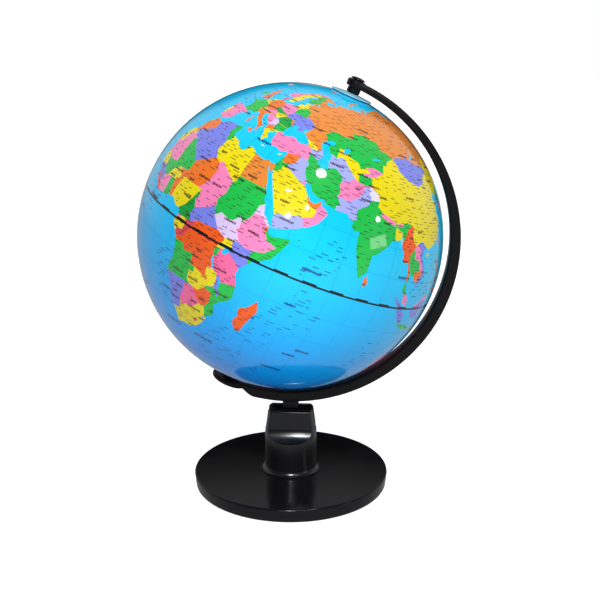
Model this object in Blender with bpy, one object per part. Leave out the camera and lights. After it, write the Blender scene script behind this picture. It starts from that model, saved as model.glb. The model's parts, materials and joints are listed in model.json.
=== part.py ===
"""Desktop globe: a 200 mm world globe on a C-shaped arm, held by a forked column on a round base.

Metres, +Z up. The origin is the centre of the underside. The arm lies in the XZ plane, and the
north pole leans towards +X. Distances called "rise" run along the polar axis from the globe's centre.
"""
from math import cos, pi, radians, sin, sqrt

import bmesh
import bpy
from mathutils import Matrix, Vector

# Globe and its axis
GLOBE_R = 0.1000
GLOBE_Z = 0.1731
POLE_TILT = radians(23)
SHELL_WALL = 0.0018
POLE_HOLE_R = 0.0060
SHELL_SEGMENTS = 56

# Arm: a C-shaped band whose two faces are circles set slightly off the globe's centre
ARM_INNER_R = 0.1057
ARM_OUTER_R = 0.1113
ARM_INNER_SHIFT = -0.0014
ARM_OUTER_DROP = 0.0021
ARM_HALF_WIDTH_LOW = 0.0066
ARM_HALF_WIDTH_TOP = 0.0060
ARM_STEPS = 48
END_PAD_R = 0.0124
END_PAD_OUTER = 0.1092
TOP_BOSS_R = 0.0061
TOP_BOSS_RISE = 0.1097

# Tilt pivot, where the arm's lug sits in the column's fork
PIVOT_Z = 0.0455
LUG_HALF_WIDTH = 0.0053
LUG_HALF_THICKNESS = 0.0032
SLOT_HALF = 0.0045
SLOT_FLOOR_Z = 0.0390
PIVOT_SCREW_R = 0.00195

# Column
COLUMN_R = 0.0180
COLUMN_TOP_R = 0.0161
COLUMN_FOOT_R = 0.0207
COLUMN_TOP_Z = 0.0540
FORK_HALF_DEPTH = 0.0088
WALL_ROUNDING = 0.0019
SCOOP_TOP_Z = 0.0428
SCOOP_R = 0.0098

# Base
BASE_R = 0.0670
BASE_BOTTOM_R = 0.0662
BASE_TOP_Z = 0.0094
BASE_WALL = 0.0025
PAD_R = 0.0620
PAD_THICKNESS = 0.0015
BALLAST_R = 0.0600
BALLAST_BORE_R = 0.0120
BALLAST_Z = (0.0020, 0.0060)
BALLAST_SCREW_COUNT = 3
BALLAST_SCREW_CIRCLE_R = 0.0400

# Axle pieces on the polar axis
PIN_R = 0.0024
BUSH_BORE_R = 0.0026
DIAL_R = 0.0135
DIAL_HOLE_R = 0.0038
DIAL_RISE = (0.1005, 0.1013)
SHOULDER_RISE = 0.1016
NECK_R = 0.0043
NECK_TOP = 0.1048
SOUTH_SPACER_TOP = 0.1059

GAP = 0.0003


def plastic(name, colour, roughness, metallic=0.0):
    """A Principled material of one colour."""
    made = bpy.data.materials.new(name)
    made.use_nodes = True
    shader = made.node_tree.nodes["Principled BSDF"]
    shader.inputs["Base Color"].default_value = (*colour, 1.0)
    shader.inputs["Roughness"].default_value = roughness
    shader.inputs["Metallic"].default_value = metallic
    return made


def add_object(name, shape, parent=None, material=None):
    """Makes an object from a bmesh, in its parent's space."""
    bmesh.ops.recalc_face_normals(shape, faces=shape.faces)
    mesh = bpy.data.meshes.new(name)
    shape.to_mesh(mesh)
    shape.free()
    mesh.shade_smooth()
    mesh.set_sharp_from_angle(angle=radians(35))
    made = bpy.data.objects.new(name, mesh)
    bpy.context.scene.collection.objects.link(made)
    made.parent = parent
    if material:
        mesh.materials.append(material)
    return made


def add_empty(name, location, parent=None, turn=0.0):
    """A joint's axis, which the pieces that move with it hang from."""
    made = bpy.data.objects.new(name, None)
    bpy.context.scene.collection.objects.link(made)
    made.parent = parent
    made.location = location
    made.rotation_euler = (0, turn, 0)
    return made


def turned(profile, segments=32, place=None):
    """Turns an outline of (radius, height) points about Z. It may start and end on the axis."""
    shape = bmesh.new()
    points = [shape.verts.new((radius, 0, height)) for radius, height in profile]
    for first, second in zip(points, points[1:]):
        shape.edges.new((first, second))
    if profile[0][0] > 0:
        shape.edges.new((points[-1], points[0]))
    bmesh.ops.spin(
        shape, geom=shape.verts[:] + shape.edges[:], cent=(0, 0, 0), axis=(0, 0, 1),
        dvec=(0, 0, 0), angle=2 * pi, steps=segments, use_merge=True, use_duplicate=False,
    )
    bmesh.ops.remove_doubles(shape, verts=shape.verts, dist=1e-7)
    if place:
        bmesh.ops.transform(shape, matrix=place, verts=shape.verts)
    return shape


def rod(radius, low, high, segments=32, place=None):
    """A plain round bar between two heights."""
    return turned([(0, low), (radius, low), (radius, high), (0, high)], segments, place)


def ring(inner, outer, low, high, segments=32, place=None):
    """A plain washer between two heights."""
    return turned([(inner, low), (outer, low), (outer, high), (inner, high)], segments, place)


def block(low, high, round_edges=None, radius=0.0, segments=6):
    """A box between two corners, with its edges along one axis rounded."""
    size = Vector(high) - Vector(low)
    middle = (Vector(high) + Vector(low)) / 2
    shape = bmesh.new()
    bmesh.ops.create_cube(shape, size=1, matrix=Matrix.Translation(middle) @ Matrix.Diagonal((*size, 1)))
    if round_edges is not None:
        chosen = [e for e in shape.edges if abs((e.verts[0].co - e.verts[1].co)[round_edges]) > 1e-6]
        bmesh.ops.bevel(
            shape, geom=chosen, offset=radius, offset_type="OFFSET", segments=segments,
            profile=0.5, affect="EDGES", clamp_overlap=True, material=-1,
        )
    return shape


def boolean(target, other, operation="DIFFERENCE"):
    """Cuts or joins one object with another, which is then only a guide."""
    step = target.modifiers.new(other.name, "BOOLEAN")
    step.operation = operation
    step.solver = "EXACT"
    step.object = other
    other.hide_render = True
    other.display_type = "WIRE"


def arc(centre, radius, start, end, steps):
    """Points of an arc as (across, up), from one angle to another."""
    turns = [start + (end - start) * step / steps for step in range(steps + 1)]
    return [(centre[0] + radius * cos(turn), centre[1] + radius * sin(turn)) for turn in turns]


def smooth_step(value, low, high):
    """0 below low, 1 above high, and a smooth ramp between."""
    share = min(max((value - low) / (high - low), 0.0), 1.0)
    return share * share * (3 - 2 * share)


for old in list(bpy.data.objects):
    bpy.data.objects.remove(old)

BLACK = (0.012, 0.012, 0.014)
black_plastic = plastic("black_plastic", BLACK, 0.30)
print_north = plastic("globe_print_north", (0.05, 0.42, 0.82), 0.16)
print_south = plastic("globe_print_south", (0.04, 0.38, 0.80), 0.16)
dial_plastic = plastic("dial_plastic", (0.62, 0.76, 0.84), 0.30)
white_plastic = plastic("white_plastic", (0.80, 0.80, 0.78), 0.45)
foam_rubber = plastic("foam_rubber", (0.03, 0.03, 0.03), 0.90)
zinc_steel = plastic("zinc_steel", (0.62, 0.62, 0.60), 0.35, 1.0)
plate_steel = plastic("plate_steel", (0.30, 0.30, 0.31), 0.45, 1.0)

tilt_axis = add_empty("tilt_axis", (0, 0, PIVOT_Z))
polar_axis = add_empty("polar_axis", (0, 0, GLOBE_Z - PIVOT_Z), tilt_axis, POLE_TILT)
SOUTHWARD = Matrix.Rotation(pi, 4, "X")
REARWARD = Matrix.Rotation(-pi / 2, 4, "X")


# ---------------------------------------------------------------- base

def base_shell():
    """The round moulded base, hollow below, with a boss in the middle for the column's screw."""
    under_top = BASE_TOP_Z - BASE_WALL
    edge = 0.0007
    rim_z = 0.0005
    boss_r = 0.0100
    boss_z = 0.0056
    bore_r = 0.0030
    outline = [
        (bore_r, BASE_TOP_Z),
        (bore_r, boss_z),
        (boss_r, boss_z),
        (boss_r, under_top),
        (BASE_R - BASE_WALL, under_top),
        (BASE_BOTTOM_R - BASE_WALL, rim_z),
        (BASE_BOTTOM_R, rim_z),
        (BASE_R, BASE_TOP_Z - edge),
        (BASE_R - edge * 0.3, BASE_TOP_Z - edge * 0.3),
        (BASE_R - edge, BASE_TOP_Z),
    ]
    shell = add_object("base_shell", turned(outline, 64), None, black_plastic)
    blind_top = under_top + 0.0013
    for number, place in enumerate(ballast_screw_places(), 1):
        hole = add_object(f"guide_post_hole_{number}", rod(0.0017, under_top - 0.001, blind_top, 16, place))
        boolean(shell, hole)


def ballast_screw_places():
    """Where the screws stand, spread evenly round the base."""
    for number in range(BALLAST_SCREW_COUNT):
        turn = Matrix.Rotation(radians(90) + 2 * pi * number / BALLAST_SCREW_COUNT, 4, "Z")
        yield turn @ Matrix.Translation((BALLAST_SCREW_CIRCLE_R, 0, 0))


def ballast():
    """The steel weight under the base's top, and its countersunk screws."""
    low, high = BALLAST_Z
    head_r, shank_r, head_low, head_high = 0.0031, 0.0014, low + 0.0001, low + 0.0018
    screw_top = BASE_TOP_Z - BASE_WALL + 0.0010
    plate = add_object("ballast_plate", ring(BALLAST_BORE_R, BALLAST_R, low, high, 40), None, plate_steel)
    screw = [(0, head_low), (head_r, head_low), (shank_r, head_high), (shank_r, screw_top), (0, screw_top)]
    sink = [
        (0, low - 0.001),
        (head_r + GAP, low - 0.001),
        (head_r + GAP, head_low),
        (shank_r + GAP, head_high + GAP),
        (shank_r + GAP, high + 0.001),
        (0, high + 0.001),
    ]
    for number, place in enumerate(ballast_screw_places(), 1):
        add_object(f"ballast_screw_{number}", turned(screw, 16, place), None, zinc_steel)
        boolean(plate, add_object(f"guide_sink_{number}", turned(sink, 16, place)))


def base_pad():
    """The round non-slip sheet that covers the whole underside."""
    add_object("base_pad", rod(PAD_R, 0, PAD_THICKNESS, 48), None, foam_rubber)


def column_screw():
    """The screw and washer that pull the column down onto the base, from below."""
    head_low, head_high = PAD_THICKNESS + 0.0004, 0.0043
    head_r, shank_r, tip_z = 0.0050, 0.0025, 0.0270
    screw = [
        (0, head_low),
        (head_r - 0.0012, head_low),
        (head_r, head_low + 0.0010),
        (head_r, head_high),
        (shank_r, head_high),
        (shank_r, tip_z - 0.0020),
        (0, tip_z),
    ]
    add_object("column_screw", turned(screw, 24), None, zinc_steel)
    washer = ring(shank_r + GAP, 0.0085, head_high + GAP, 0.0056 - GAP, 32)
    add_object("column_screw_washer", washer, None, zinc_steel)


# ---------------------------------------------------------------- column

def column():
    """The moulded post: round below, scooped front and back above into a fork for the arm's lug."""
    foot_z = BASE_TOP_Z + GAP
    fillet = COLUMN_FOOT_R - COLUMN_R
    straight_top = 0.0322
    edge = 0.0020
    outline = [(0, foot_z), (COLUMN_FOOT_R, foot_z)]
    outline += arc((COLUMN_FOOT_R, foot_z + 0.0004 + fillet), fillet, -pi / 2, -pi, 5)
    outline += [
        (COLUMN_R, straight_top),
        (COLUMN_R * 0.65 + COLUMN_TOP_R * 0.35, (straight_top + COLUMN_TOP_Z) / 2),
        (COLUMN_TOP_R, COLUMN_TOP_Z - edge),
    ]
    outline += arc((COLUMN_TOP_R - edge, COLUMN_TOP_Z - edge), edge, 0, pi / 2, 4)[1:]
    outline += [(0, COLUMN_TOP_Z)]
    post = add_object("column", turned(outline, 48), None, black_plastic)

    reach = 0.030
    for name, side in (("front", -1), ("rear", 1)):
        scoop = bmesh.new()
        centre_y = FORK_HALF_DEPTH + SCOOP_R
        eased = (FORK_HALF_DEPTH - WALL_ROUNDING, COLUMN_TOP_Z - WALL_ROUNDING)
        edge_points = [(eased[0], COLUMN_TOP_Z + 0.010)]
        edge_points += arc(eased, WALL_ROUNDING, pi / 2, 0, 4)
        edge_points += arc((centre_y, SCOOP_TOP_Z), SCOOP_R, pi, 1.5 * pi, 8)
        edge_points += [(reach, SCOOP_TOP_Z - SCOOP_R), (reach, COLUMN_TOP_Z + 0.010)]
        face = scoop.faces.new([scoop.verts.new((-reach, side * y, z)) for y, z in edge_points])
        grown = bmesh.ops.extrude_face_region(scoop, geom=[face])["geom"]
        moved = [part for part in grown if isinstance(part, bmesh.types.BMVert)]
        bmesh.ops.translate(scoop, verts=moved, vec=(2 * reach, 0, 0))
        boolean(post, add_object(f"guide_scoop_{name}", scoop))

    slot = block((-reach, -SLOT_HALF, SLOT_FLOOR_Z), (reach, SLOT_HALF, COLUMN_TOP_Z + 0.01))
    boolean(post, add_object("guide_slot", slot))
    core = ring(0.0060, 0.0135, foot_z - 0.001, 0.0270, 32)
    boolean(post, add_object("guide_core", core))
    boolean(post, add_object("guide_screw_hole", rod(0.0028, foot_z - 0.001, 0.0290, 24)))

    across = Matrix.Translation((0, 0, PIVOT_Z)) @ REARWARD
    boolean(post, add_object("guide_pivot_hole", rod(PIVOT_SCREW_R + GAP, 0.001, 0.012, 24, across)))
    boolean(post, add_object("guide_head_recess", rod(0.0041, 0.0064, 0.012, 24, across)))
    boolean(post, add_object("guide_nut_pocket", rod(0.0044, -0.0080, -0.001, 6, across)))


def pivot_hardware():
    """The tilt screw from the rear, its captive nut in the front wall, and two nylon washers."""
    across = Matrix.Translation((0, 0, PIVOT_Z)) @ REARWARD
    head_low, head_high, head_r = 0.0067, 0.0087, 0.0037
    screw = [
        (0, -0.0077),
        (PIVOT_SCREW_R, -0.0077),
        (PIVOT_SCREW_R, head_low),
        (head_r, head_low),
        (head_r, head_high - 0.0006),
        (head_r - 0.0008, head_high),
        (0, head_high),
    ]
    add_object("pivot_screw", turned(screw, 24, across), None, zinc_steel)
    nut = add_object("pivot_nut", rod(0.0040, -0.0077, -0.0048, 6, across), None, zinc_steel)
    boolean(nut, add_object("guide_nut_bore", rod(PIVOT_SCREW_R + GAP, -0.009, -0.004, 24, across)))
    thickness = SLOT_HALF - LUG_HALF_THICKNESS - 2 * GAP
    for name, low in (("front", -SLOT_HALF + GAP), ("rear", LUG_HALF_THICKNESS + GAP)):
        washer = ring(PIVOT_SCREW_R + GAP, 0.0046, low, low + thickness, 24, across)
        add_object(f"friction_washer_{name}", washer, None, white_plastic)


# ---------------------------------------------------------------- arm

NORTH_ANGLE = pi / 2 - POLE_TILT
SOUTH_ANGLE = NORTH_ANGLE - pi


def arm_faces(angle):
    """The band's inner and outer distance from the globe's centre, at an angle up from +X."""
    inner = ARM_INNER_R + ARM_INNER_SHIFT * cos(angle)
    outer = ARM_OUTER_R - ARM_OUTER_DROP * sin(angle)
    to_pole = angle - SOUTH_ANGLE
    thick = smooth_step(to_pole, radians(4.4), radians(10.0))
    return inner, END_PAD_OUTER + (outer - END_PAD_OUTER) * thick


def arm_half_width(angle):
    """The band narrows from its lower half up to the top boss."""
    share = smooth_step(angle, radians(-50), NORTH_ANGLE)
    return ARM_HALF_WIDTH_LOW + (ARM_HALF_WIDTH_TOP - ARM_HALF_WIDTH_LOW) * share


def arm_band():
    """The C-shaped band: one rounded section swept round the globe, then given its true thickness."""
    half_section = [(0.0, 0.80), (0.10, 0.95), (0.30, 1.0), (0.70, 1.0), (0.90, 0.95), (1.0, 0.80)]
    section = half_section + [(1.02, 0.0)] + [(depth, -side) for depth, side in reversed(half_section)]
    first = NORTH_ANGLE - radians(0.3)
    last = SOUTH_ANGLE
    band = bmesh.new()
    spoke = Vector((cos(first), 0, sin(first)))
    loop = [band.verts.new(spoke * (1 + depth) + Vector((0, side, 0))) for depth, side in section]
    start = band.faces.new(loop)
    bmesh.ops.spin(
        band, geom=[start], cent=(0, 0, 0), axis=(0, 1, 0), dvec=(0, 0, 0),
        angle=first - last, steps=ARM_STEPS, use_merge=False, use_duplicate=False,
    )
    for vert in band.verts:
        reach = Vector((vert.co.x, 0, vert.co.z))
        angle = Vector((1, 0)).angle_signed(Vector((reach.x, reach.z)), 0.0) * -1
        if angle > pi / 2 + 0.2:
            angle -= 2 * pi
        inner, outer = arm_faces(angle)
        distance = inner + (outer - inner) * (reach.length - 1)
        place = reach.normalized() * distance
        vert.co = Vector((place.x, vert.co.y * arm_half_width(angle), place.z + GLOBE_Z - PIVOT_Z))
    return band


def arm():
    """The whole arm moulding: band, fork lug, top boss and the round pad under the south pole."""
    band = add_object("arm", arm_band(), tilt_axis, black_plastic)
    lug_top = GLOBE_Z - PIVOT_Z - ARM_INNER_R - 0.0030
    lug = block(
        (-LUG_HALF_WIDTH, -LUG_HALF_THICKNESS, -LUG_HALF_WIDTH),
        (LUG_HALF_WIDTH, LUG_HALF_THICKNESS, lug_top), 1, LUG_HALF_WIDTH * 0.98, 6,
    )
    for vert in lug.verts:
        if vert.co.z > lug_top - LUG_HALF_WIDTH * 1.01:
            vert.co.x = LUG_HALF_WIDTH if vert.co.x > 0 else -LUG_HALF_WIDTH
            vert.co.z = lug_top if vert.co.z > lug_top - LUG_HALF_WIDTH * 0.99 else vert.co.z
    bmesh.ops.remove_doubles(lug, verts=lug.verts, dist=1e-6)
    bmesh.ops.dissolve_degenerate(lug, edges=lug.edges, dist=1e-7)
    boolean(band, add_object("guide_lug", lug, tilt_axis), "UNION")

    boss_low = ARM_INNER_R + ARM_INNER_SHIFT * cos(NORTH_ANGLE)
    boss = turned(
        [
            (0, boss_low),
            (TOP_BOSS_R, boss_low),
            (TOP_BOSS_R, TOP_BOSS_RISE - 0.0003),
            (TOP_BOSS_R - 0.0003, TOP_BOSS_RISE),
            (0, TOP_BOSS_RISE),
        ],
        32,
    )
    boolean(band, add_object("guide_top_boss", boss, polar_axis), "UNION")

    pad_low = ARM_INNER_R + ARM_INNER_SHIFT * cos(SOUTH_ANGLE)
    edge = 0.0010
    pad_outline = [
        (0, pad_low),
        (END_PAD_R - edge, pad_low),
        (END_PAD_R, pad_low + edge),
        (END_PAD_R, END_PAD_OUTER - edge),
        (END_PAD_R - edge * 0.3, END_PAD_OUTER - edge * 0.3),
        (END_PAD_R - edge, END_PAD_OUTER),
        (0, END_PAD_OUTER),
    ]
    pad = turned(pad_outline, 48, SOUTHWARD)
    boolean(band, add_object("guide_end_pad", pad, polar_axis), "UNION")

    across = REARWARD
    boolean(band, add_object("guide_lug_hole", rod(PIVOT_SCREW_R + GAP, -0.01, 0.01, 24, across), tilt_axis))
    boolean(band, add_object("guide_top_hole", rod(PIN_R + GAP, 0.100, 0.114, 24), polar_axis))
    low_hole = rod(PIN_R + GAP, 0.100, 0.114, 24, SOUTHWARD)
    boolean(band, add_object("guide_low_hole", low_hole, polar_axis))


def axle_pieces():
    """The two pins that the globe spins on, and the spacers between the globe and the arm."""
    pin_tip = 0.0900
    cap_low = TOP_BOSS_RISE + GAP
    cap = [(PIN_R, cap_low), (0.0046, cap_low), (0.0044, cap_low + 0.0008), (0.0031, cap_low + 0.0015)]
    top_pin = [(0, pin_tip)] + [(PIN_R, pin_tip)] + cap + [(0, cap_low + 0.0018)]
    add_object("top_pin", turned(top_pin, 32), polar_axis, black_plastic)

    spigot_r = 0.0036
    neck = [
        (PIN_R + GAP, 0.1004),
        (spigot_r, 0.1004),
        (spigot_r, SHOULDER_RISE),
        (NECK_R, SHOULDER_RISE),
        (NECK_R, NECK_TOP),
        (PIN_R + GAP, NECK_TOP),
    ]
    add_object("north_spacer", turned(neck, 32), polar_axis, black_plastic)

    head_low = END_PAD_OUTER + GAP
    screw = [
        (0, pin_tip),
        (PIN_R, pin_tip),
        (PIN_R, head_low),
        (0.0042, head_low),
        (0.0042, head_low + 0.0009),
        (0.0030, head_low + 0.0017),
        (0, head_low + 0.0019),
    ]
    add_object("south_pin", turned(screw, 32, SOUTHWARD), polar_axis, zinc_steel)
    spacer = ring(PIN_R + GAP, NECK_R, 0.1004, SOUTH_SPACER_TOP, 32, SOUTHWARD)
    add_object("south_spacer", spacer, polar_axis, black_plastic)


# ---------------------------------------------------------------- globe

def hemisphere(name, material, place):
    """Half of the printed ball: a formed sheet with a round hole at its pole."""
    seam = GAP / 2
    inner_r = GLOBE_R - SHELL_WALL

    def wall(radius, steps):
        start = sin_angle(seam / radius)
        end = pi / 2 - sin_angle(POLE_HOLE_R / radius)
        return arc((0, 0), radius, start, end, steps)

    outline = wall(GLOBE_R, 10) + list(reversed(wall(inner_r, 7)))
    add_object(name, turned(outline, SHELL_SEGMENTS, place), polar_axis, material)


def sin_angle(share):
    """The small angle whose sine is this share."""
    return pi / 2 - Vector((share, sqrt(1 - share * share))).angle(Vector((1, 0)))


def globe_inside():
    """What the two halves are joined by, and the bush in each pole that runs on its pin."""
    inner_r = GLOBE_R - SHELL_WALL
    band_outer = inner_r - 0.0005
    half_height = 0.0045
    joining = ring(band_outer - 0.0020, band_outer, -half_height, half_height, SHELL_SEGMENTS)
    add_object("equator_ring", joining, polar_axis, white_plastic)
    bush = [
        (BUSH_BORE_R, 0.0948),
        (0.0095, 0.0948),
        (0.0095, 0.0970),
        (POLE_HOLE_R - GAP, 0.0970),
        (POLE_HOLE_R - GAP, 0.1000),
        (BUSH_BORE_R, 0.1000),
    ]
    add_object("north_bush", turned(bush, 32), polar_axis, white_plastic)
    add_object("south_bush", turned(bush, 32, SOUTHWARD), polar_axis, white_plastic)


def hour_dial():
    """The loose disc over the north pole. It turns on the spacer."""
    low, high = DIAL_RISE
    edge = 0.0002
    outline = [(DIAL_HOLE_R, low), (DIAL_R - edge, low), (DIAL_R, low + edge), (DIAL_R, high - edge)]
    outline += [(DIAL_R - edge, high), (DIAL_HOLE_R, high)]
    add_object("hour_dial", turned(outline, 48), polar_axis, dial_plastic)


base_shell()
ballast()
base_pad()
column_screw()
column()
pivot_hardware()
arm()
axle_pieces()
hemisphere("north_hemisphere", print_north, None)
hemisphere("south_hemisphere", print_south, SOUTHWARD)
globe_inside()
hour_dial()
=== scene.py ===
"""A desktop world globe: a printed ball on a tilted axis, in a C-shaped arm on a forked column and base.

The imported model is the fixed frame. Each section below makes one piece, or one group of like pieces.
Metres, +Z up. The arm lies in the XZ plane and the north pole leans towards +X.
"""
import json
import math

import bmesh
import bpy
import numpy as np
from mathutils import Matrix, Vector
from mathutils.geometry import delaunay_2d_cdt


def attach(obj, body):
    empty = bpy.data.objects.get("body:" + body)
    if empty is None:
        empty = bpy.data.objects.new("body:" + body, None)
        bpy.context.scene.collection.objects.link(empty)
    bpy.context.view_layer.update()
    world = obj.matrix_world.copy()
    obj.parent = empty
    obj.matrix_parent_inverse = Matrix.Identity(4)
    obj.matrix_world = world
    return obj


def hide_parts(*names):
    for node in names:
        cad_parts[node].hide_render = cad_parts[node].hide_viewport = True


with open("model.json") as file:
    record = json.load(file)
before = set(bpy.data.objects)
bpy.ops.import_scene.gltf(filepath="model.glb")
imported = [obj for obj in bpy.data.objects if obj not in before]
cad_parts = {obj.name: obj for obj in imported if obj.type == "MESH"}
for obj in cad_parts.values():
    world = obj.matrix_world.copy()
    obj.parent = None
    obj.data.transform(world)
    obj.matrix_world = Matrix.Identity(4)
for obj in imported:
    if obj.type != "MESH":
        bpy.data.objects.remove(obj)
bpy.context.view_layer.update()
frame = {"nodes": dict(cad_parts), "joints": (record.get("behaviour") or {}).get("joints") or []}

# ---------------------------------------------------------------- the printed ball
# Two formed plastic halves, printed with a political world map under a clear gloss and joined at the
# equator. Land is drawn as outlines in degrees of longitude and latitude, and countries overrun the sea.

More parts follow.
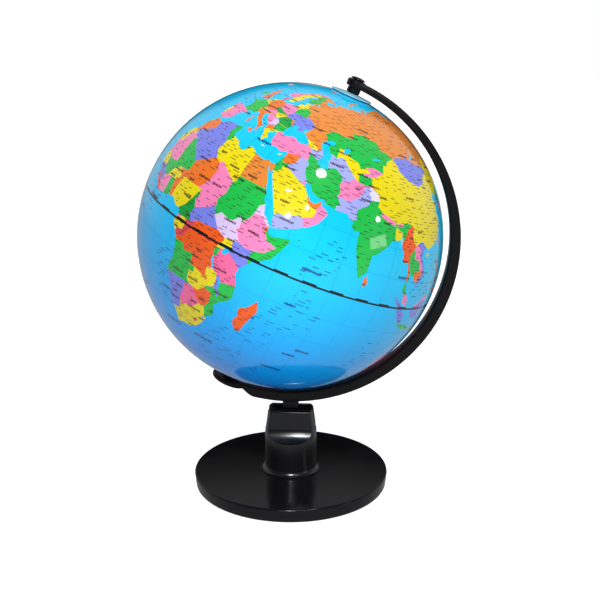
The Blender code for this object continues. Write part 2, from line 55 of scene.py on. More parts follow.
LAND = {
    "africa": """-6 36, -2 35.1, 0 36, 3 37, 7 37, 10 37.3, 11 37, 10.2 34.3, 11 33.2, 13 32.9,
        15.2 32.3, 16 31.2, 19 30.3, 20.2 31, 20 32.2, 21.5 32.9, 23 32.6, 25 31.6, 29 30.9, 31 31.5,
        32.6 31.1, 32.5 29.9, 32.7 29, 33.6 27.5, 35.5 24, 35.7 22.8, 37.2 21, 37.2 19.5, 38.5 18,
        39.7 15.2, 41.2 14.6, 43.1 12.6, 43 11.6, 44.5 10.4, 48 11.1, 51.2 11.9, 51 10.4, 49.8 8,
        48 4.3, 46 2.3, 43 0, 41.5 -1.8, 40 -3.2, 39.2 -4.8, 38.8 -6.5, 39.5 -8, 40.4 -10.5,
        40.7 -14.5, 39.5 -16.2, 37 -17.8, 34.9 -19.8, 35.5 -22.2, 35.4 -24, 32.8 -25.6, 32.6 -27.5,
        31.2 -29.5, 30 -31.2, 28 -32.9, 25.7 -33.9, 22 -34.1, 20 -34.8, 18.4 -34.2, 18.2 -32.5,
        17.2 -29.8, 15.8 -27.6, 14.9 -26, 14.4 -22.6, 12.8 -19, 11.8 -17.5, 12.2 -15, 13.6 -12.3,
        13.3 -9, 12.3 -6.1, 11.8 -4.6, 9.5 -2.3, 9 -0.7, 9.6 1, 9.8 3, 8.8 4.5, 6.8 4.4, 5.5 5.2,
        4.3 6.3, 1.2 6, -2 4.8, -4 5.2, -7.6 4.4, -9.2 5.5, -11.4 6.8, -13.2 8.5, -13.7 9.8, -15 11,
        -16.7 12.4, -16.8 13.8, -17.4 14.7, -16.5 16, -16.1 18, -16.3 19.5, -17 21, -16 23.7,
        -14.5 26.2, -13 27.8, -11.2 28.4, -9.8 29.8, -9.7 31.5, -8.5 33.3, -6.8 34.2""",
    "eurasia": """32.6 31.1, 34.2 31.3, 35 33, 35.9 35.5, 36 36.8, 34.6 36.7, 32.5 36.1, 30.6 36.8,
        28.5 36.5, 27.3 37, 26.5 38.3, 26.3 39.4, 26.2 40, 26 40.8, 24.4 40.9, 23.9 40.1, 22.8 40.3,
        22.7 39.4, 24 38.2, 23.7 37.7, 23 37.4, 22.9 36.5, 21.9 36.8, 21.3 37.9, 20.8 38.8, 19.5 40.3,
        19.5 41.9, 17.5 43, 15.3 44.3, 14.5 45.3, 13.6 45.6, 12.4 45.3, 12.4 44.2, 13.6 43.5,
        14.2 42.4, 16 41.6, 18.4 40.2, 17 40.5, 16.8 39.5, 17 38.9, 16 37.9, 15.7 38.2, 16.1 39,
        15.3 40, 14.3 40.8, 12.3 41.8, 10.5 42.9, 10 44, 8.8 44.4, 7.3 43.7, 5.5 43.2, 4 43.5,
        3.1 42.8, 3.2 41.9, 0.8 40.9, -0.3 39.4, 0.2 38.7, -0.7 37.7, -2 36.8, -4.5 36.7, -5.6 36.1,
        -6.5 36.8, -7.4 37.2, -8.9 37, -8.8 38.5, -9.5 38.8, -8.7 41, -9 43, -8 43.7, -4 43.5,
        -1.8 43.4, -1.2 44.7, -1.2 46, -2.3 47.2, -4.6 48, -4.6 48.6, -1.6 48.7, -1.6 49.7, 0.1 49.6,
        1.6 50.6, 3.5 51.5, 4.7 53, 7 53.6, 8.4 53.9, 8.6 54.6, 8.1 55.6, 8.2 57, 10.6 57.7,
        10.3 56.4, 9.6 55.2, 10.8 54.2, 14.2 54, 18.4 54.8, 20 54.5, 21.1 55.6, 21.5 57.5, 24 57.2,
        23.6 59.2, 28 59.6, 30 60, 25 60.2, 22.5 60, 21.3 61.5, 22 63.3, 25.3 65, 24.2 65.8,
        21.5 64.6, 17.3 61.8, 17.2 60.6, 18.9 59.9, 16.8 58.5, 16.3 56.8, 14.5 55.5, 12.8 55.5,
        11.5 58.2, 10.6 59.2, 8 58.1, 5.4 58.8, 5 61.8, 8.5 63.6, 12.5 65.7, 14.5 68, 18 69.5,
        22 70.5, 25.7 71.1, 31 70.3, 33 69.4, 40.5 67.7, 41 66.6, 35 66.6, 33 66.5, 34.8 64.6,
        37 63.9, 40 64.8, 43.8 66.2, 44 68.2, 46.3 68.2, 46 66.9, 50 68, 54 68.3, 60.5 69.6, 65 69.3,
        67 69, 68 71, 69 73, 72.5 72.8, 72.5 71, 74 68, 74.5 72.5, 80.5 72, 80.5 73.5, 87 75, 98 76,
        104 77.7, 113 76, 113 73.8, 123 73, 128 72.5, 130 71, 140 72.5, 150 71.5, 160 69.7, 170 69.5,
        176 69.8, 180 68.9, 180 65, 177.5 64.7, 179 62.3, 170.5 60, 163.5 59.8, 162 58, 163 56.2,
        161.7 55, 160 53, 156.8 51, 155.7 54, 155.8 57, 161 60.6, 163.5 62.3, 160 61.8, 155 59.3,
        150 59.5, 143 59.3, 138 56, 135.3 54.6, 141 53, 140.3 48.5, 135.5 44.5, 132 43.2, 130.5 42.3,
        127.5 39.7, 129.3 37, 129 35.2, 126.5 34.5, 126.7 37, 125 38.2, 124.5 39.8, 121.3 38.9,
        121.8 40.8, 118 39.2, 118 38, 122.3 37.2, 119.3 35, 121.8 32, 121.7 30, 120 27, 118 24.5,
        114.3 22.5, 110.5 21.2, 109.8 20.4, 109.5 21.5, 108.2 21.6, 106.5 20.2, 105.7 18.9,
        108.8 15.3, 109.3 12.5, 107 10.5, 104.9 8.7, 105 10.2, 102.5 12, 100.9 12.7, 100.4 13.5,
        99.9 12, 99.2 10, 100.4 8.3, 101 6.9, 102.5 6.1, 103.4 4.5, 104.2 1.5, 103.4 1.4, 101 3,
        100.3 5.5, 99.3 6.8, 98.3 8, 98.6 11, 98.5 13.5, 97.6 16.2, 95.3 15.8, 94.3 16.2, 94.4 18.5,
        92.3 21, 91.7 22.4, 90.3 22, 88.8 21.7, 87 21.2, 86.3 19.8, 82.3 16.6, 80.2 15.5, 80.2 13,
        79.8 10.3, 78.2 8.8, 77.5 8.1, 76.3 10, 74.8 13, 73.4 16, 72.8 19, 72.8 21, 72.2 21,
        70.5 20.8, 69 22.3, 70.2 22.9, 68.2 23.6, 66.7 25.2, 61.6 25.1, 57.3 25.8, 56.8 27.1,
        54.7 26.5, 51.5 27.9, 50 30.1, 48.5 30, 48 29.3, 48.8 28, 50.2 26.5, 50.8 24.8, 51.2 26.1,
        51.6 24.7, 54 24.1, 56.2 26, 56.4 24.7, 58.6 23.6, 59.8 22.5, 58.5 20.4, 57.7 19, 55.3 17.3,
        52.2 15.6, 49 14.2, 45 12.9, 43.5 12.7, 42.8 15, 42.6 16.6, 40.5 19.8, 39.1 21.8, 37.5 24.3,
        35.2 28, 34.9 29.5, 34.3 27.8, 32.6 29.9""",
    "far_east_tip": "-180 68.9, -175 67.3, -170 66, -173 64.4, -178 65.5, -180 65",
    "north_america": """-168 65.8, -165 68, -166 68.5, -156.8 71.3, -150 70.5, -141 69.7, -135 69.2,
        -128 70.3, -122 69.8, -115 68.2, -108 68, -101 68, -95 68.5, -94 71.8, -92 69.7, -85.5 69.5,
        -81.5 69, -81.3 67.5, -86 66.3, -87 65.3, -93.5 61.8, -94.7 58.8, -92.5 57, -88 56.5,
        -82.3 55.2, -82 53, -79 51.3, -79.2 54.5, -76.7 57, -78.3 59, -77.5 62.5, -73.5 62.3, -70 61,
        -69.3 59, -66 58.8, -64.5 60.4, -61.5 57, -57 54, -55.7 52.3, -60 50.2, -66.5 50.2, -70 47.5,
        -65.2 49.2, -64.5 48, -65 47, -61.5 45.9, -60 46.2, -61.2 45.3, -65.8 43.5, -66.2 44.7,
        -67 44.7, -70.5 43.3, -70.7 41.8, -74 40.7, -75.5 38, -76 35.3, -79 33.5, -81.3 31, -80.2 27,
        -80.4 25.2, -81.8 26, -82.7 28, -84 30, -89.5 30.2, -91 29.2, -94.5 29.4, -97.3 27.5,
        -97.7 24, -97.2 21, -96 19, -94.5 18.2, -91.5 18.5, -90.4 20.8, -87 21.5, -87.8 18.5,
        -88.6 15.9, -85 15.9, -83.2 15, -83.7 11, -82 9, -79.5 9.6, -77.3 8.6, -76.5 7.5, -77.6 7,
        -79.5 8.8, -80.3 7.4, -83 8.3, -85.7 10, -87.6 13, -91.5 14, -94.5 16.2, -99.7 16.7,
        -104.5 19.2, -105.5 20.5, -105.5 22.5, -109.5 26, -112.5 29.8, -114.5 31.7, -114 30,
        -112 27.5, -109.5 23.1, -110.3 23.5, -112.2 25.5, -115 28.2, -117.2 32.6, -120.6 34.6,
        -122.5 37.7, -124.3 40.4, -124 46, -124.7 48.4, -122.5 48.8, -128 51.5, -130.3 54.8,
        -133.5 57.5, -139.5 59.7, -146 60.8, -151.8 59.3, -154 58.8, -157.5 56.8, -163 54.8,
        -158.5 58.7, -162 59, -165.5 61.5, -161 64.2, -165 64.5""",
    "south_america": """-77.6 7, -77.3 8.6, -75.6 10.6, -74.8 11, -72 12, -71.5 10.9, -70 12,
        -68.5 11.2, -64.5 10.2, -62 10.7, -60 8.5, -57 6, -51.8 4.5, -50 1, -51 -0.5, -48 -0.7,
        -44.5 -2.5, -40 -2.9, -37 -4.7, -35.2 -5.5, -34.8 -7.5, -37 -11, -39 -13, -39 -17.7, -41 -22,
        -44.5 -23, -48.5 -26, -48.7 -28.5, -52.3 -33, -54.5 -34.9, -58 -34.2, -57 -36.5, -58 -38.3,
        -62 -39, -65 -41, -63.7 -42.7, -65.3 -44.5, -67.5 -46, -65.8 -47.5, -69 -50.7, -68.3 -52.5,
        -65.2 -54.7, -68.5 -55.5, -72 -54, -75.3 -51, -74.3 -46, -73 -41.5, -73.4 -37.5, -71.5 -32,
        -70.3 -25, -70.2 -19, -76 -14, -79.8 -7.2, -81.3 -4.5, -80 -3, -80.9 -1, -80 1, -77.5 3.8""",
    "australia": """114 -22, 113.5 -26, 115.7 -32, 115 -34.3, 118 -35, 124 -33, 129 -31.6,
        131.5 -31.5, 135 -34.8, 137.8 -33, 138 -35.6, 140.5 -38, 143.5 -38.8, 146.3 -39.1, 150 -37.3,
        151.5 -33, 153.2 -28, 152.8 -25.2, 149.5 -22.2, 146 -19, 145.3 -15, 143.5 -14, 142.5 -10.7,
        141.6 -13, 140.8 -17.5, 139 -17.5, 135.5 -15, 136.8 -12.2, 132.5 -11.4, 130.5 -12.5,
        129.5 -15, 126 -14, 122.3 -18, 119 -20""",
    "antarctica": """-180 -78, -165 -78.3, -155 -77, -148 -75, -135 -74.3, -115 -74, -103 -72.5,
        -90 -73, -75 -73.5, -68 -70, -67 -67, -58 -63.5, -57 -64.5, -62 -67, -61 -72, -61 -75,
        -50 -78, -35 -78, -27 -76, -15 -73, 0 -70, 15 -69.5, 30 -69.3, 40 -69, 50 -66.5, 57 -67,
        69 -68, 72 -70, 78 -69, 88 -66.5, 100 -66, 112 -66, 122 -66.8, 135 -66, 145 -67, 155 -69,
        165 -70.8, 170 -72, 165 -75, 163 -78, 180 -78, 180 -90, -180 -90""",
}

WATER = {
    "black_sea": """28 42.5, 28.2 41.5, 29.2 41.2, 31.4 41.3, 33.3 42, 35 42, 36.4 41.3, 38.5 41,
        41.5 41.6, 41.4 42.6, 39 44, 37.3 45.2, 36.5 45.2, 35.3 45.1, 33.8 44.4, 32.6 45.4, 33.5 46.1,
        31.3 46.6, 29.8 45.5, 28.7 44.2""",
    "azov": "35 46.2, 36.5 45.4, 37.7 45.5, 38 46.6, 39.2 47.2, 36.8 46.8",
    "caspian": """47 44.5, 48.7 46, 51.5 47, 53.2 46.5, 53 45.2, 51.2 45, 50.5 44.3, 51.3 43, 53 41.8,
        53.8 40.5, 53 39.5, 54 37.2, 51.5 36.6, 49 37.5, 49 39, 50.3 40.4, 49 41.5, 47.6 43""",
    "aral": "58.3 45.6, 60 46.6, 61.5 46.3, 60.8 44.5, 59 43.8, 58.3 44.5",
    "balkhash": "73.8 45.6, 74.5 46.8, 77 46.8, 79.2 46.6, 76.5 46",
    "baikal": "103.8 51.6, 107 53.2, 109.5 55.7, 109.8 55, 107.6 52.3, 105.5 51.3",
    "ladoga": "30.5 61, 31.7 61.5, 32.7 60.8, 31.3 60",
    "white_sea": "33 66.6, 37 66.8, 40.8 66.3, 39 64.6, 36.5 64, 34.6 65.2",
    "victoria": "31.8 -1, 33 0.3, 34.2 0, 34 -1.2, 33 -2.5, 31.9 -2.2",
    "tanganyika": "29.3 -3.5, 29.8 -4.6, 30 -6, 31 -8.3, 30.4 -8.3, 29.2 -6",
    "nyasa": "34 -9.7, 34.9 -11, 35 -13.8, 34.3 -12",
    "bothnia": "17.5 61.5, 19 60.3, 21.2 60.8, 21.2 62, 22 63.5, 24.8 65.3, 22 65.3, 19 63.3",
    "lakes_west": "-92 46.8, -88 48.6, -84.7 46.8, -87 46.4, -90 46.8",
    "lakes_middle": """-87.8 42, -87.5 45, -85 45.8, -80.3 45.5, -82.5 43.2, -84 45.6, -86.2 43.5,
        -86.8 41.8""",
    "lakes_east": "-83 41.7, -79 42.8, -76.3 43.4, -77 44, -79.6 43.4, -81.5 42.7",
    "great_bear": "-124 66, -119 67, -118 65.3, -122 65",
    "great_slave": "-116 61, -110 62.8, -112 61, -115 60.9",
    "winnipeg": "-98.8 53.5, -97.5 53.8, -96.5 50.6, -97.6 51",
}

ISLANDS = {
    "madagascar": """49.3 -12, 50.4 -15.5, 49.5 -17.5, 47.8 -22, 47 -25, 45.3 -25.5, 43.7 -23.5,
        43.4 -21.8, 44.4 -19.8, 44 -17.5, 44.5 -16.2, 46.3 -15.8, 48 -13.6""",
    "great_britain": """-5 58.6, -3 58.6, -2 57.5, -2.2 56, 0 53.7, 1.6 52.6, 1.2 51.2, -1 50.7,
        -5.3 50.1, -3 51.4, -5.1 51.8, -4.4 53.2, -3 54, -5 54.8, -5.6 56.5, -6 58""",
    "ireland": "-6 54.5, -6.2 52.2, -9.8 51.6, -9.8 53.5, -8.2 54.6, -7.2 55.3",
    "iceland": "-22 64, -24 65.5, -20 66, -16 66.4, -14 65, -18.5 63.5",
    "svalbard": "11 79.5, 15 77, 21 78.5, 25 80, 17 80",
    "novaya": "52 71, 57 70.7, 56 73, 66 76.5, 69 77, 58 75.5, 53 73",
    "severnaya": "96 79.5, 103 79, 105 78.3, 98 81",
    "new_siberian": "137 75.5, 150 75, 142 73.5",
    "sicily": "12.5 38, 15.6 38.2, 15.1 36.7",
    "sardinia": "8.2 41, 9.7 41, 9.5 39.1, 8.5 39",
    "corsica": "8.6 42.4, 9.4 43, 9.5 41.8, 8.8 41.4",
    "crete": "23.6 35.5, 26.3 35.2, 24.8 34.9",
    "cyprus": "32.3 35, 34.5 35.6, 33.5 34.6",
    "ceylon": "79.8 8, 80.2 9.8, 81.8 7.5, 80.6 5.9, 79.9 6.7",
    "socotra": "53.3 12.7, 54.5 12.6, 53.7 12.3",
    "andaman": "92.6 13.5, 93 13.4, 92.8 11.5",
    "sumatra": """95.3 5.6, 97.5 5.2, 100.3 2.5, 103.7 -1, 106 -3, 105.8 -5.8, 104.5 -5.8, 102.3 -4,
        100.3 -1, 98.5 1.7""",
    "java": "105.2 -6.8, 106 -6, 110.8 -6.5, 114.4 -7.7, 114.4 -8.7, 110 -8.2, 106.4 -7.4",
    "timor": "116 -8.4, 119 -8.4, 123 -8.5, 127 -8.4, 124 -10.2, 119 -9, 116 -9",
    "borneo": """109 1.5, 110 1.7, 111.4 2.6, 113 3.2, 115.5 5.5, 117 7, 119.2 5.2, 117.5 3, 119 1,
        117.5 0, 116.3 -3.5, 114.5 -4, 111.8 -3.4, 110.2 -2.8, 109 0""",
    "sulawesi": """119.5 -5.5, 119 -3, 119.8 0.5, 121 1.3, 125 1.5, 121 0.4, 120.2 -1, 123.3 -0.9,
        121.5 -2, 122.8 -4.5, 121.5 -4.7, 120.8 -2.8, 120.4 -5.5""",
    "moluccas": "127.5 2, 128.5 1, 128 -1, 127.4 0.5",
    "seram": "128 -3, 130.8 -3, 129 -3.5",
    "new_guinea": """131 -0.8, 134 -0.8, 135 -3.3, 138 -1.6, 141 -2.6, 145.8 -5, 147.8 -6.5,
        150.8 -10.3, 147 -9.5, 144 -7.7, 142.5 -9.2, 138 -8.4, 138 -5.5, 135.2 -4.4, 132.8 -4""",
    "new_britain": "148.5 -5.8, 152 -4.3, 150 -6.3",
    "luzon": "120.3 16, 120.6 18.5, 122.2 18.4, 121.6 16, 124 13, 121 13.6",
    "mindanao": "122 7, 123.5 8.5, 125.5 9.8, 126.4 7.5, 125.4 5.7, 124 7",
    "visayas": "122 11.8, 123.2 11.5, 125 12.5, 125.3 11, 123.2 9.2",
    "taiwan": "120.1 23, 121 25.1, 121.9 25, 120.8 22",
    "hainan": "108.7 19, 109.5 20, 111 19.9, 110 18.3",
    "honshu": """131 34, 132.8 35.5, 136 35.8, 137 37.4, 139.5 38.5, 140 40.6, 141.4 41.4, 142 39.5,
        140.8 36.5, 140 35, 138 34.7, 136 33.6, 135 34.6""",
    "hokkaido": "140 41.5, 140.4 43.3, 141.8 45.4, 145.2 44, 143.3 42",
    "kyushu": "129.8 33, 131.2 33.8, 131.8 32.5, 130.7 31.1",
    "shikoku": "132.3 33.5, 134.2 34.3, 134 33.3, 133 32.8",
    "sakhalin": "142.2 46, 142 50, 142.5 54, 143.3 52, 144 49, 143.3 46.5",
    "tasmania": "144.7 -40.8, 148.3 -41, 147.5 -43.3, 146 -43.4",
    "north_island": """172.8 -34.5, 174.8 -36.8, 178.4 -37.7, 176.8 -40.2, 175.2 -41.6, 174 -39.3,
        174.8 -38""",
    "south_island": """172.7 -40.6, 174.2 -41.6, 172.8 -43.8, 170.7 -45.9, 168.4 -46.6, 166.5 -46,
        168.5 -44, 171.2 -42.2""",
    "new_caledonia": "164 -20, 167 -22.3, 164.5 -21",
    "fiji": "177.3 -17.5, 178.6 -17.8, 177.6 -18.2",
    "hawaii": "-156 20.2, -154.9 19.5, -155.8 19",
    "baffin": """-61.5 66.5, -68 70.3, -78 73.5, -89 73.5, -85 71.5, -79 70, -73 68, -72.7 64.5,
        -66 62, -68 64, -64.5 65""",
    "victoria_land": "-117 69.8, -105 69, -101.5 70, -105 73, -115 73.3, -118 71.5",
    "ellesmere": "-90 76.5, -78 76.5, -65 81, -62 82.8, -75 83, -90 81.5",
    "banks": "-125.5 72, -120 71.5, -118 73.8, -124 74.3",
    "devon": "-96 76.5, -80 75.5, -80 74.7, -92 74.8",
    "somerset": "-102 73, -93 72.2, -90 73.8, -98 74",
    "southampton": "-87 64, -81 63.8, -84 65.8",
    "greenland": """-73 78.2, -60 82, -45 82.5, -32 83.5, -20 82, -18 77, -21 73, -24 70.5, -32 68,
        -40 65, -43 60, -48 61, -52 64.5, -53.5 67.5, -51 70, -55 72.5, -58 75.5, -68 76""",
    "newfoundland": "-59.3 47.7, -57 51.3, -55.8 51.5, -53 47, -56 46.9",
    "cuba": "-84.9 21.9, -82 23.1, -79.5 22.8, -74.2 20.2, -77.5 19.9, -78 21, -81.8 22.3",
    "hispaniola": "-74.4 18.4, -73.3 19.9, -70 19.8, -68.4 18.6, -71.5 17.8",
    "jamaica": "-78.3 18.3, -76.3 18.1, -77.2 17.8",
    "puerto_rico": "-67.2 18.4, -65.7 18.3, -67 18",
    "vancouver": "-128 50.7, -125 50, -123.5 48.5, -125.5 48.8",
    "falklands": "-61 -51.5, -58 -51.5, -59.5 -52.2",
}

